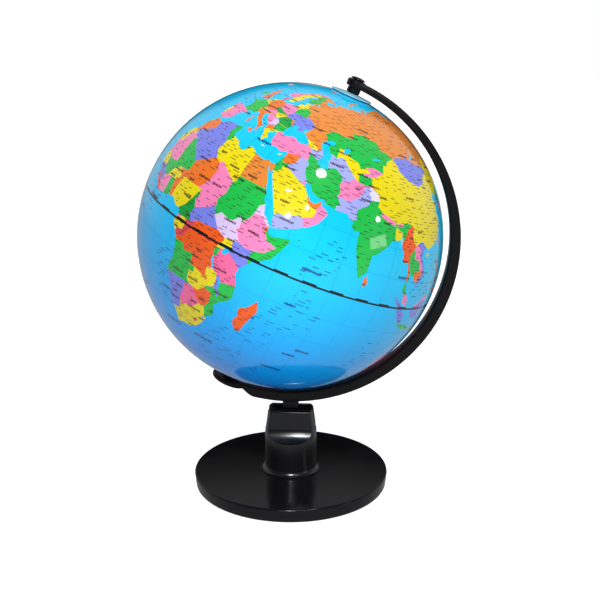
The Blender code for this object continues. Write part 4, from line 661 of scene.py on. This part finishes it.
def new_material(name, links, **fixed):
    """A Principled material. The links are built by a function of a bare Signal, by socket name."""
    made = bpy.data.materials.new(name)
    made.use_nodes = True
    tree = made.node_tree
    shader = tree.nodes["Principled BSDF"]
    for socket, value in fixed.items():
        shader.inputs[socket.replace("_", " ")].default_value = value
    for socket, signal in links(Signal(tree)).items():
        tree.links.new(signal.socket, shader.inputs[socket])
    return made


def object_place(start, matrix):
    """The point's place in a frame that stands still on the piece."""
    coords = start.node("ShaderNodeTexCoord", {}, "Object")
    return start.node(
        "ShaderNodeMapping", {"vector_type": "TEXTURE"}, "Vector", Vector=coords,
        Location=matrix.to_translation(), Rotation=matrix.to_euler("XYZ"),
    )


def axes_of(start, place):
    """The three parts of a point."""
    split = start.node("ShaderNodeSeparateXYZ", {}, 0, Vector=place).socket.node
    return [Signal(start.tree, split.outputs[axis]) for axis in "XYZ"]


def printed_sheet(s):
    """Inks with a painted shade over the southern sea, graticule, rows of small label strokes, towns, and
    the equator's scale.
    """
    place = object_place(s, TO_BALL)
    x, y, z = axes_of(s, place)
    lat_turn = s.math("ARCSINE", z / BALL_R)
    lat = lat_turn * math.degrees(1)
    lon = s.math("ARCTAN2", y, x) * math.degrees(1)
    squeeze = s.math("COSINE", lat_turn)
    paint = s.node("ShaderNodeAttribute", {"attribute_name": "print_ink"}, "Color")
    land = Signal(s.tree, paint.socket.node.outputs["Alpha"])
    sea = 1 - land

    wash = s.noise(place, 12.0, 3.0)
    ink = (sea * wash * 0.35).mix(paint, (0.002, 0.42, 0.88, 1))
    # Painted shade: the sea is inked darker and deeper blue from just north of the equator to the south
    # pole, standing in for the shade on the ball's lower side.
    ink = (sea * (0.22 - z / BALL_R) * 0.95).mix(ink, (0.0008, 0.30, 0.95, 1))
    ink = (land * s.noise(place, 55.0, 3.0) * 0.12).mix(ink, (0.02, 0.02, 0.03, 1))

    meridians = s.math("PINGPONG", lon + GRATICULE_STEP, GRATICULE_STEP / 2) * squeeze
    parallels = s.math("PINGPONG", lat + GRATICULE_STEP, GRATICULE_STEP / 2)
    ruled = (meridians < RULE_HALF_WIDTH) | (parallels < RULE_HALF_WIDTH)
    ink = (ruled * sea * 0.50).mix(ink, (0.0, 0.18, 0.55, 1))
    ink = (ruled * land * 0.14).mix(ink, (0.10, 0.10, 0.15, 1))

    def label_strokes(row_step, length, cover, seed):
        """Rows of short broken strokes along the parallels, like small print seen from afar."""
        level = lat / row_step + seed
        row = s.math("FLOOR", level)
        row_squeeze = s.math("COSINE", (row + (0.5 - seed)) * math.radians(row_step))
        along = lon * row_squeeze / length + row * 3.71
        within = s.math("FRACT", along)
        cell = s.node("ShaderNodeCombineXYZ", {}, 0, X=s.math("FLOOR", along), Y=row, Z=seed * 7.0)
        chance = s.node("ShaderNodeTexWhiteNoise", {"noise_dimensions": "3D"}, "Color", Vector=cell)
        parts = s.node("ShaderNodeSeparateColor", {}, 0, Color=chance).socket.node
        shown, start, run = (Signal(s.tree, parts.outputs[number]) for number in range(3))
        begins = start * 0.35
        in_run = (within > begins) * (within < begins + (run * 0.40 + 0.22))
        letters = s.node("ShaderNodeCombineXYZ", {}, 0, X=along * (length * 3.4), Y=level * 5.3, Z=0.0)
        thick = (s.noise(letters, 1.0, 1.0) - 0.25) * 0.50
        return (shown < cover) * in_run * (abs(s.math("FRACT", level) - 0.5) < thick)

    small = label_strokes(1.05, 4.2, 0.62, 0.0) | label_strokes(2.7, 9.0, 0.30, 0.4)
    ink = (small * land * 0.85).mix(ink, (0.03, 0.012, 0.015, 1))
    groups = s.noise(place, 31.0, 0.0) > 0.60
    names = (label_strokes(1.25, 5.2, 0.55, 0.7) * groups) | label_strokes(3.3, 13.0, 0.07, 0.2)
    ink = (names * sea * 0.85).mix(ink, (0.0, 0.02, 0.16, 1))
    town = s.node("ShaderNodeTexVoronoi", {}, "Distance", Vector=place, Scale=240.0)
    ink = ((town < 0.085) * land * 0.85).mix(ink, (0.04, 0.01, 0.02, 1))

    dark_block = s.math("PINGPONG", lon + 362.5, 5.0) > 2.5
    scale = (lat > 0.20) * (lat < 0.72) * dark_block
    ink = ((abs(lat) < EQUATOR_HALF_WIDTH) | scale).mix(ink, (0.002, 0.003, 0.012, 1))
    return {"Base Color": ink}


print_corners, print_faces, print_middles, print_colours = print_map()
map_print = new_material(
    "map_print", printed_sheet, Roughness=0.35, Specular_IOR_Level=0.10,
    Coat_Weight=1.0, Coat_Roughness=0.05, Coat_IOR=1.5,
)
for half, node, keep in (
    ("printed_half_north", "north_hemisphere", print_middles[:, 1] > SEAM_LATITUDE),
    ("printed_half_south", "south_hemisphere", print_middles[:, 1] < -SEAM_LATITUDE),
):
    add_piece(half, half_ball(half, keep), map_print, "globe", [node])

# ---------------------------------------------------------------- base
# A round moulded cover, hollow below and closed by a foam sheet. Its top edge is softly rounded and its
# side wall leans in a little towards the table.

BASE_R = 0.0670
BASE_BOTTOM_R = 0.0662
BASE_TOP_Z = 0.0094
BASE_EDGE = 0.0011
BASE_WALL = 0.0025
UNDER_TOP_Z = 0.0069
RIM_Z = 0.0005
RIM_EASE = 0.0004
SCREW_HOLE_R = 0.0030
SCREW_PAD_R = 0.0100
SCREW_PAD_Z = 0.0056
SHARP_ANGLE = math.radians(32)


def arc(across, up, radius, start, end, steps):
    """Points of an arc as (across, up), from one angle in degrees to another."""
    turns = [math.radians(start + (end - start) * step / steps) for step in range(steps + 1)]
    return [(across + radius * math.cos(turn), up + radius * math.sin(turn)) for turn in turns]


def turned(profile, steps, matrix=None):
    """Turns an outline of (radius, height) points about Z. It may start and end on the axis."""
    shape = bmesh.new()
    points = [shape.verts.new((radius, 0, height)) for radius, height in profile]
    ends = points[:1] if profile[0][0] > 0 else []
    for first, second in zip(points, points[1:] + ends):
        shape.edges.new((first, second))
    bmesh.ops.spin(
        shape, geom=shape.verts[:] + shape.edges[:], cent=(0, 0, 0), axis=(0, 0, 1), dvec=(0, 0, 0),
        angle=2 * math.pi, steps=steps, use_merge=True, use_duplicate=False,
    )
    bmesh.ops.remove_doubles(shape, verts=shape.verts, dist=1e-7)
    if matrix:
        bmesh.ops.transform(shape, matrix=matrix, verts=shape.verts)
    return shape


def to_mesh(name, shape):
    """Ends a bmesh as a mesh, smooth but for its sharp edges."""
    bmesh.ops.recalc_face_normals(shape, faces=shape.faces)
    mesh = bpy.data.meshes.new(name)
    shape.to_mesh(mesh)
    shape.free()
    mesh.shade_smooth()
    mesh.set_sharp_from_angle(angle=SHARP_ANGLE)
    return mesh


def moulded_black(shine, grain, depth):
    """Black plastic with a faint cloudy tone, uneven gloss and a fine moulded skin."""

    def links(s):
        place = s.node("ShaderNodeTexCoord", {}, "Object")
        cloud = s.noise(place, 42.0, 4.0)
        tone = cloud.mix((0.0022, 0.0022, 0.0026, 1), (0.0050, 0.0049, 0.0058, 1))
        relief = s.noise(place, grain, 3.0)
        skin = s.node("ShaderNodeBump", {}, 0, Strength=0.25, Distance=depth, Height=relief)
        return {"Base Color": tone, "Roughness": cloud * 0.12 + shine, "Normal": skin}

    return links


gloss_black = new_material("gloss_black", moulded_black(0.08, 900.0, 0.00003), Specular_IOR_Level=0.25)
base_profile = [(SCREW_HOLE_R, BASE_TOP_Z), (SCREW_HOLE_R, SCREW_PAD_Z)]
base_profile += [(SCREW_PAD_R, SCREW_PAD_Z), (SCREW_PAD_R, UNDER_TOP_Z)]
base_profile += [(BASE_R - BASE_WALL, UNDER_TOP_Z), (BASE_BOTTOM_R - BASE_WALL, RIM_Z)]
base_profile += [(BASE_BOTTOM_R - RIM_EASE, RIM_Z), (BASE_BOTTOM_R, RIM_Z + RIM_EASE)]
base_profile += arc(BASE_R - BASE_EDGE, BASE_TOP_Z - BASE_EDGE, BASE_EDGE, 4, 90, 7)
add_piece("base_cover", to_mesh("base_cover", turned(base_profile, 256)), gloss_black, "stand",
          ["base_shell"])

# ---------------------------------------------------------------- column
# A moulded post with a small flared foot. It is scooped in front and behind, which leaves a flat fork
# that the arm's lug tilts in.

COLUMN_R = 0.0180
COLUMN_TOP_R = 0.0161
COLUMN_FOOT_R = 0.0207
COLUMN_TOP_Z = 0.0540
COLUMN_FOOT_Z = 0.0097
STRAIGHT_TOP = 0.0322
TOP_ROUNDING = 0.0014
FORK_HALF_DEPTH = 0.0088
WALL_ROUNDING = 0.0019
SCOOP_TOP_Z = 0.0428
SCOOP_R = 0.0098
SLOT_HALF = 0.0045
SLOT_FLOOR_Z = 0.0390
PIVOT_Z = 0.0455
PIVOT_BORE_R = 0.0022
SCREW_HEAD_R = 0.0041
REACH = 0.030
CUT_TOP_Z = 0.0640


def prism(outline, half_length):
    """An outline of (y, z) points drawn out along X, both ways."""
    shape = bmesh.new()
    face = shape.faces.new([shape.verts.new((-half_length, y, z)) for y, z in outline])
    grown = bmesh.ops.extrude_face_region(shape, geom=[face])["geom"]
    moved = [part for part in grown if isinstance(part, bmesh.types.BMVert)]
    bmesh.ops.translate(shape, verts=moved, vec=(2 * half_length, 0, 0))
    return shape


def combined(name, shape, guides, bevel=0.0):
    """A shape with others cut away or joined on, and its hard edges eased."""
    bmesh.ops.recalc_face_normals(shape, faces=shape.faces)
    whole = bpy.data.objects.new(name, to_mesh(name, shape))
    bpy.context.scene.collection.objects.link(whole)
    others = []
    for number, (operation, guide) in enumerate(guides):
        other = bpy.data.objects.new(f"{name}_guide_{number}", to_mesh(f"{name}_guide_{number}", guide))
        bpy.context.scene.collection.objects.link(other)
        others.append(other)
        step = whole.modifiers.new(f"step_{number}", "BOOLEAN")
        step.operation = operation
        step.solver = "EXACT"
        step.object = other
    if bevel:
        weld = whole.modifiers.new("weld", "WELD")
        weld.merge_threshold = 2e-6
        ease = whole.modifiers.new("ease", "BEVEL")
        ease.width = bevel
        ease.segments = 3
        ease.limit_method = "ANGLE"
        ease.angle_limit = math.radians(38)
        ease.use_clamp_overlap = True
    graph = bpy.context.evaluated_depsgraph_get()
    mesh = bpy.data.meshes.new_from_object(whole.evaluated_get(graph))
    mesh.name = name
    for made in [whole] + others:
        bpy.data.objects.remove(made)
    mesh.shade_smooth()
    mesh.set_sharp_from_angle(angle=SHARP_ANGLE)
    return mesh


flare = COLUMN_FOOT_R - COLUMN_R
column_profile = [(0, COLUMN_FOOT_Z), (COLUMN_FOOT_R - 0.0002, COLUMN_FOOT_Z)]
column_profile += [(COLUMN_FOOT_R, COLUMN_FOOT_Z + 0.0002)]
column_profile += arc(COLUMN_FOOT_R, COLUMN_FOOT_Z + 0.0006 + flare, flare, -90, -180, 10)
column_profile += [
    (COLUMN_R, 0.0220),
    (COLUMN_R, STRAIGHT_TOP),
    (COLUMN_R - 0.00022, 0.0370),
    (COLUMN_R - 0.00066, 0.0430),
    (COLUMN_TOP_R + 0.0004, 0.0490),
]
column_profile += arc(COLUMN_TOP_R - TOP_ROUNDING, COLUMN_TOP_Z - TOP_ROUNDING, TOP_ROUNDING, 8, 90, 8)
column_profile += [(0, COLUMN_TOP_Z)]
column_cuts = []
for side in (-1, 1):
    scoop = [(FORK_HALF_DEPTH - WALL_ROUNDING, CUT_TOP_Z)]
    scoop += arc(FORK_HALF_DEPTH - WALL_ROUNDING, COLUMN_TOP_Z - WALL_ROUNDING, WALL_ROUNDING, 90, 0, 8)
    scoop += arc(FORK_HALF_DEPTH + SCOOP_R, SCOOP_TOP_Z, SCOOP_R, 180, 270, 20)
    scoop += [(REACH, SCOOP_TOP_Z - SCOOP_R), (REACH, CUT_TOP_Z)]
    column_cuts.append(("DIFFERENCE", prism([(side * y, z) for y, z in scoop], REACH)))
slot = [(-SLOT_HALF, SLOT_FLOOR_Z), (SLOT_HALF, SLOT_FLOOR_Z)]
slot += [(SLOT_HALF, CUT_TOP_Z), (-SLOT_HALF, CUT_TOP_Z)]
column_cuts.append(("DIFFERENCE", prism(slot, REACH)))
across = Matrix.Translation((0, 0, PIVOT_Z)) @ Matrix.Rotation(-math.pi / 2, 4, "X")
recess = turned([(0, 0.0064), (SCREW_HEAD_R, 0.0064), (SCREW_HEAD_R, 0.012), (0, 0.012)], 48, across)
column_cuts.append(("DIFFERENCE", recess))
bore = turned([(0, 0.0010), (PIVOT_BORE_R, 0.0010), (PIVOT_BORE_R, 0.0070), (0, 0.0070)], 32, across)
column_cuts.append(("DIFFERENCE", bore))
column_mesh = combined("fork_column", turned(column_profile, 144), column_cuts, 0.0005)
column_black = new_material("column_black", moulded_black(0.17, 1100.0, 0.00003), Specular_IOR_Level=0.50)
add_piece("fork_column", column_mesh, column_black, "stand", ["column"])

# ---------------------------------------------------------------- arm
# One moulding: a C-shaped band with rounded edges, thicker below, a fork lug under it, a round end with
# the top bearing, and a round pad at the lower bearing.

ARM_INNER_R = 0.1057
ARM_OUTER_R = 0.11116
ARM_INNER_SHIFT = -0.0014
ARM_OUTER_DROP = 0.0021
ARM_HALF_WIDTH_LOW = 0.0066
ARM_HALF_WIDTH_TOP = 0.0060
ARM_STEPS = 180
END_PAD_R = 0.0124
END_PAD_OUTER = 0.1092
TOP_BOSS_R = 0.0061
TOP_BOSS_RISE = 0.1097
LUG_HALF_WIDTH = 0.0053
LUG_HALF_THICKNESS = 0.0032
LUG_BORE_R = 0.00225
PIN_BORE_R = 0.0027
BOSS_LOW_EASE = 0.0007
BOSS_ROUNDING = 0.0010
PAD_LOW_EASE = 0.0008
PAD_ROUNDING = 0.0012
NORTH_ANGLE = math.pi / 2 - POLE_TILT
SOUTH_ANGLE = NORTH_ANGLE - math.pi


def smooth_step(value, low, high):
    """0 below low, 1 above high, and a smooth ramp between."""
    share = min(max((value - low) / (high - low), 0.0), 1.0)
    return share * share * (3 - 2 * share)


def arm_band():
    """The band: a rounded section swept round the ball, then given its true reach and width."""
    section = [(0.0, 0.80), (0.03, 0.90), (0.09, 0.965), (0.17, 0.99), (0.30, 1.0), (0.50, 1.0)]
    section += [(1 - depth, side) for depth, side in reversed(section[:5])]
    section += [(1.012, 0.45), (1.015, 0.0), (1.012, -0.45)]
    section += [(depth, -side) for depth, side in reversed(section[:11])]
    first = NORTH_ANGLE - math.radians(0.3)
    band = bmesh.new()
    spoke = Vector((math.cos(first), 0, math.sin(first)))
    loop = [band.verts.new(spoke * (1 + depth) + Vector((0, side, 0))) for depth, side in section]
    bmesh.ops.spin(
        band, geom=[band.faces.new(loop)], cent=(0, 0, 0), axis=(0, 1, 0), dvec=(0, 0, 0),
        angle=first - SOUTH_ANGLE, steps=ARM_STEPS, use_merge=False, use_duplicate=False,
    )
    for vert in band.verts:
        reach = math.hypot(vert.co.x, vert.co.z)
        angle = math.atan2(vert.co.z, vert.co.x)
        if angle > math.pi / 2 + 0.2:
            angle -= 2 * math.pi
        inner = ARM_INNER_R + ARM_INNER_SHIFT * math.cos(angle)
        outer = ARM_OUTER_R - ARM_OUTER_DROP * math.sin(angle)
        thick = smooth_step(angle - SOUTH_ANGLE, math.radians(4.4), math.radians(10.0))
        outer = END_PAD_OUTER + (outer - END_PAD_OUTER) * thick
        width = smooth_step(angle, math.radians(-50), NORTH_ANGLE)
        width = ARM_HALF_WIDTH_LOW + (ARM_HALF_WIDTH_TOP - ARM_HALF_WIDTH_LOW) * width
        distance = inner + (outer - inner) * (reach - 1)
        turn = Vector((math.cos(angle), 0, math.sin(angle)))
        vert.co = BALL_CENTRE + turn * distance + Vector((0, vert.co.y * width, 0))
    return band


def arm_lug():
    """The flat lug with a round lower end, which fills the column's fork."""
    low = arc(0, PIVOT_Z, LUG_HALF_WIDTH, 180, 360, 24)
    outline = low + [(LUG_HALF_WIDTH, 0.0640), (-LUG_HALF_WIDTH, 0.0640)]
    lug = bmesh.new()
    face = lug.faces.new([lug.verts.new((x, -LUG_HALF_THICKNESS, z)) for x, z in outline])
    grown = bmesh.ops.extrude_face_region(lug, geom=[face])["geom"]
    moved = [part for part in grown if isinstance(part, bmesh.types.BMVert)]
    bmesh.ops.translate(lug, verts=moved, vec=(0, 2 * LUG_HALF_THICKNESS, 0))
    return lug


boss_low = ARM_INNER_R + ARM_INNER_SHIFT * math.cos(NORTH_ANGLE)
boss_profile = [(0, boss_low), (TOP_BOSS_R - BOSS_LOW_EASE, boss_low)]
boss_profile += arc(TOP_BOSS_R - BOSS_LOW_EASE, boss_low + BOSS_LOW_EASE, BOSS_LOW_EASE, -60, 0, 4)
boss_profile += arc(TOP_BOSS_R - BOSS_ROUNDING, TOP_BOSS_RISE - BOSS_ROUNDING, BOSS_ROUNDING, 0, 90, 6)
boss_profile += [(0, TOP_BOSS_RISE)]
pad_low = ARM_INNER_R + ARM_INNER_SHIFT * math.cos(SOUTH_ANGLE)
pad_profile = [(0, pad_low), (END_PAD_R - PAD_LOW_EASE, pad_low)]
pad_profile += arc(END_PAD_R - PAD_LOW_EASE, pad_low + PAD_LOW_EASE, PAD_LOW_EASE, -60, 0, 4)
pad_profile += arc(END_PAD_R - PAD_ROUNDING, END_PAD_OUTER - PAD_ROUNDING, PAD_ROUNDING, 0, 90, 6)
pad_profile += [(0, END_PAD_OUTER)]
SOUTHWARD = POLAR @ Matrix.Rotation(math.pi, 4, "X")
pin_bore = [(0, 0.100), (PIN_BORE_R, 0.100), (PIN_BORE_R, 0.114), (0, 0.114)]
arm_steps = [
    ("UNION", arm_lug()),
    ("UNION", turned(boss_profile, 72, POLAR)),
    ("UNION", turned(pad_profile, 96, SOUTHWARD)),
    ("DIFFERENCE", turned([(0, -0.01), (LUG_BORE_R, -0.01), (LUG_BORE_R, 0.01), (0, 0.01)], 32, across)),
    ("DIFFERENCE", turned(pin_bore, 32, POLAR)),
    ("DIFFERENCE", turned(pin_bore, 32, SOUTHWARD)),
]
satin_black = new_material("satin_black", moulded_black(0.29, 1300.0, 0.00004), Specular_IOR_Level=0.25)
arm_mesh = combined("arm_moulding", arm_band(), arm_steps)
add_piece("arm_moulding", arm_mesh, satin_black, "arm", ["arm"])

# ---------------------------------------------------------------- pole pieces
# The domed top pin, the two necks between ball and arm, and the pale hour dial, dished to lie loose
# over the north pole, with a mark for each of its 24 hours.

DIAL_R = 0.0135
DIAL_HOLE_R = 0.0038
DIAL_UNDER_R = 0.1005
DIAL_UPPER_R = 0.1013
MARK_INNER_R = 0.0103
MARK_OUTER_R = 0.0121
RIM_LINE_R = 0.0125
INNER_LINE_R = 0.0070

pin_profile = [(0, 0.0900), (0.0024, 0.0900), (0.0024, 0.1100), (0.0044, 0.1100)]
pin_profile += [(0.0046, 0.1102), (0.0046, 0.1105), (0.00445, 0.1108), (0.0041, 0.11102), (0.0034, 0.11136)]
pin_profile += [(0.0024, 0.11152), (0.0012, 0.11163), (0, 0.1117)]
pin_mesh = to_mesh("domed_pin", turned(pin_profile, 64, POLAR))
add_piece("domed_pin", pin_mesh, gloss_black, "arm", ["top_pin"])
neck_profile = [(0.0027, 0.1004), (0.0036, 0.1004), (0.0036, 0.1016), (0.0041, 0.1016), (0.0043, 0.1018)]
neck_profile += [(0.0043, 0.1048), (0.0027, 0.1048)]
neck_mesh = to_mesh("north_neck", turned(neck_profile, 64, POLAR))
add_piece("north_neck", neck_mesh, satin_black, "arm", ["north_spacer"])
ring_profile = [(0.0027, 0.1004), (0.0041, 0.1004), (0.0043, 0.1006), (0.0043, 0.1057), (0.0041, 0.1059)]
ring_profile += [(0.0027, 0.1059)]
ring_mesh = to_mesh("south_neck", turned(ring_profile, 64, SOUTHWARD))
add_piece("south_neck", ring_mesh, satin_black, "arm", ["south_spacer"])


def dial_face(s):
    """Pale milky plastic with two fine rings and 24 hour marks, of which every sixth is longer."""
    x, y, z = axes_of(s, object_place(s, POLAR))
    radius = s.math("SQRT", x * x + y * y)
    turn = s.math("ARCTAN2", y, x) * (24 / (2 * math.pi))
    near = abs(s.math("FRACT", turn + 24.5) - 0.5) * radius
    long_mark = s.math("PINGPONG", turn + 24.0, 3.0) < 0.25
    marks = (near < 0.000055) * (radius > MARK_INNER_R - 0.0010 * long_mark) * (radius < MARK_OUTER_R)
    rim = abs(radius - RIM_LINE_R) < 0.00010
    inner = abs(radius - INNER_LINE_R) < 0.00008
    cloud = s.noise(object_place(s, POLAR), 160.0, 3.0)
    tone = cloud.mix((0.20, 0.52, 0.70, 1), (0.36, 0.66, 0.80, 1))
    tone = ((marks | rim | inner) * 0.85).mix(tone, (0.02, 0.04, 0.10, 1))
    return {"Base Color": tone, "Roughness": cloud * 0.15 + 0.22}


milky_dial = new_material("milky_dial", dial_face, Specular_IOR_Level=0.5)
reaches = [DIAL_HOLE_R + (DIAL_R - 0.0002 - DIAL_HOLE_R) * step / 8 for step in range(9)]
dial_profile = [(reach, math.sqrt(DIAL_UNDER_R**2 - reach**2)) for reach in reaches]
dial_profile += [(DIAL_R, dial_profile[-1][1] + 0.0002), (DIAL_R, dial_profile[-1][1] + 0.0005)]
dial_profile += [(reach, math.sqrt(DIAL_UPPER_R**2 - reach**2)) for reach in reversed(reaches)]
dial_mesh = to_mesh("hour_disc", turned(dial_profile, 144, POLAR))
add_piece("hour_disc", dial_mesh, milky_dial, "dial", ["hour_dial"])

# ---------------------------------------------------------------- hardware and hidden pieces
# Plated screws, the steel weight, the foam sheet under the base, nylon washers, and the white mouldings
# inside the ball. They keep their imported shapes.


def plated(tone, rough):
    """Bright or dull steel with fine scuffs."""

    def links(s):
        place = s.node("ShaderNodeTexCoord", {}, "Object")
        scuff = s.noise(place, 700.0, 5.0)
        shade = scuff.mix((tone * 0.82, tone * 0.82, tone * 0.84, 1), (tone, tone, tone * 0.97, 1))
        return {"Base Color": shade, "Roughness": scuff * 0.20 + rough}

    return links


def grained(dark, light, scale, depth):
    """A matt material with a fine grain."""

    def links(s):
        place = s.node("ShaderNodeTexCoord", {}, "Object")
        grain = s.noise(place, scale, 4.0)
        bump = s.node("ShaderNodeBump", {}, 0, Strength=0.5, Distance=depth, Height=grain)
        return {"Base Color": grain.mix((*dark, 1), (*light, 1)), "Normal": bump}

    return links


zinc = new_material("zinc_plate", plated(0.66, 0.22), Metallic=1.0)
dull_steel = new_material("dull_steel", plated(0.36, 0.35), Metallic=1.0)
black_foam = grained((0.012, 0.012, 0.013), (0.035, 0.035, 0.037), 900.0, 0.0002)
foam = new_material("foam_sheet", black_foam, Roughness=0.92)
off_white = grained((0.68, 0.67, 0.63), (0.80, 0.79, 0.76), 260.0, 0.00005)
nylon = new_material("white_nylon", off_white, Roughness=0.42)
for material, nodes in (
    (zinc, ["ballast_screw_1", "ballast_screw_2", "ballast_screw_3", "column_screw", "column_screw_washer"]),
    (zinc, ["pivot_screw", "pivot_nut", "south_pin"]),
    (dull_steel, ["ballast_plate"]),
    (foam, ["base_pad"]),
    (nylon, ["friction_washer_front", "friction_washer_rear", "equator_ring", "north_bush", "south_bush"]),
):
    for node in nodes:
        kept = frame["nodes"][node].data.materials
        kept.clear()
        kept.append(material)

# ---------------------------------------------------------------- floor, light and camera
# The white table the globe stands on, the lamps and walls of the room round it, and the view.

floor_shape = bmesh.new()
bmesh.ops.create_grid(floor_shape, x_segments=1, y_segments=1, size=6.0)


def white_table(s):
    """White as seen directly. Light and gloss see it darker, as if it ended just outside the view."""
    seen = s.node("ShaderNodeLightPath", {}, "Is Camera Ray")
    glossy = Signal(s.tree, seen.socket.node.outputs["Is Glossy Ray"])
    return {"Base Color": seen * 0.30 + 0.65 - glossy * 0.22, "Emission Color": seen}


floor_paint = new_material(
    "floor_paint", white_table, Roughness=0.9, Specular_IOR_Level=0.1, Emission_Strength=0.45,
)
studio_floor = bpy.data.objects.new("studio_floor", to_mesh("studio_floor", floor_shape))
studio_floor.data.materials.append(floor_paint)
bpy.context.scene.collection.objects.link(studio_floor)


def hang_lamp(lamp, place, heading):
    """Puts a lamp in the scene, shining along its heading."""
    made = bpy.data.objects.new(lamp.name, lamp)
    bpy.context.scene.collection.objects.link(made)
    made.location = place
    made.rotation_euler = heading.to_track_quat("-Z", "Y").to_euler()
    return made


def area_lamp(name, direction, distance, size, power, shape="DISK", seen=True):
    """A soft lamp that faces the ball's centre. A fill lamp isn't seen in the gloss."""
    lamp = bpy.data.lights.new(name, "AREA")
    lamp.energy = power
    lamp.shape = shape
    lamp.size = size[0]
    lamp.size_y = size[-1]
    towards = Vector(direction).normalized()
    hang_lamp(lamp, BALL_CENTRE + towards * distance, -towards).visible_glossy = seen


LAMP_DISTANCE = 1.1
FILL_DISTANCE = 1.6
area_lamp("key_lamp", (0.367, -0.488, 0.796), LAMP_DISTANCE, [0.12], 1.9)
area_lamp("front_lamp", (0.036, -0.901, 0.435), LAMP_DISTANCE, [0.055], 2.2)
area_lamp("front_right_lamp", (0.249, -0.826, 0.511), LAMP_DISTANCE, [0.05], 0.7)
area_lamp("side_lamp", (0.909, -0.337, 0.262), LAMP_DISTANCE, [0.06], 0.45)
area_lamp("side_window", (0.918, -0.392, 0.040), LAMP_DISTANCE, [0.26, 0.13], 0.45, "RECTANGLE")
area_lamp("left_fill", (-0.62, -0.62, 0.50), FILL_DISTANCE, [1.0], 2.2, "SQUARE", False)
area_lamp("right_fill", (0.60, -0.70, 0.40), FILL_DISTANCE, [1.0], 1.0, "SQUARE", False)

low_spot = bpy.data.lights.new("low_spot", "SPOT")
low_spot.energy = 60.0
low_spot.spot_size = math.radians(6.2)
low_spot.spot_blend = 0.5
low_spot.shadow_soft_size = 0.05
spot_place = Vector((0.04, -0.80, 0.86))
spot_target = Vector((0, -0.025, 0.027))
hang_lamp(low_spot, spot_place, spot_target - spot_place)

sky_panel = bpy.data.lights.new("sky_panel", "SUN")
sky_panel.energy = 2.1
sky_panel.angle = math.radians(75)
hang_lamp(sky_panel, (0, 0, 0), Vector((-0.03, 0.25, -0.966))).visible_glossy = False

world = bpy.data.worlds.new("studio")
bpy.context.scene.world = world
world.use_nodes = True
air = Signal(world.node_tree)
side, toward_wall, upward = axes_of(air, air.node("ShaderNodeTexCoord", {}, "Generated"))


def ramp(value, low, high):
    """0 below low, 1 above high, and a smooth step between, as a signal."""
    return air.node("ShaderNodeMapRange", {"interpolation_type": "SMOOTHSTEP"}, 0, i0=value, i1=low, i2=high)


behind = ramp(toward_wall, -0.2, 0.5)
dark_card = (1 - ramp(abs(side), 0.28, 0.48)) * (1 - ramp(upward, 0.36, 0.60))
ahead = (1 - ramp(upward, 0.0, 0.45)) * 0.16 + 0.03
room = behind.mix(ahead, (1 - dark_card) * 0.50 + 0.008)
direct = air.node("ShaderNodeLightPath", {}, "Is Camera Ray")
world.node_tree.links.new(
    direct.mix(room, (1, 1, 1, 1)).socket, world.node_tree.nodes["Background"].inputs["Color"]
)

camera_data = bpy.data.cameras.new("camera")
camera = bpy.data.objects.new("camera", camera_data)
bpy.context.scene.collection.objects.link(camera)
camera.location = (0.04559, -0.64458, 0.30337)
aim = Vector((0.00690, -0.00903, 0.13275))
camera.rotation_euler = (aim - camera.location).to_track_quat("-Z", "Y").to_euler()
camera_data.lens = 59.87
bpy.context.scene.camera = camera
bpy.context.scene.view_settings.view_transform = "Standard"
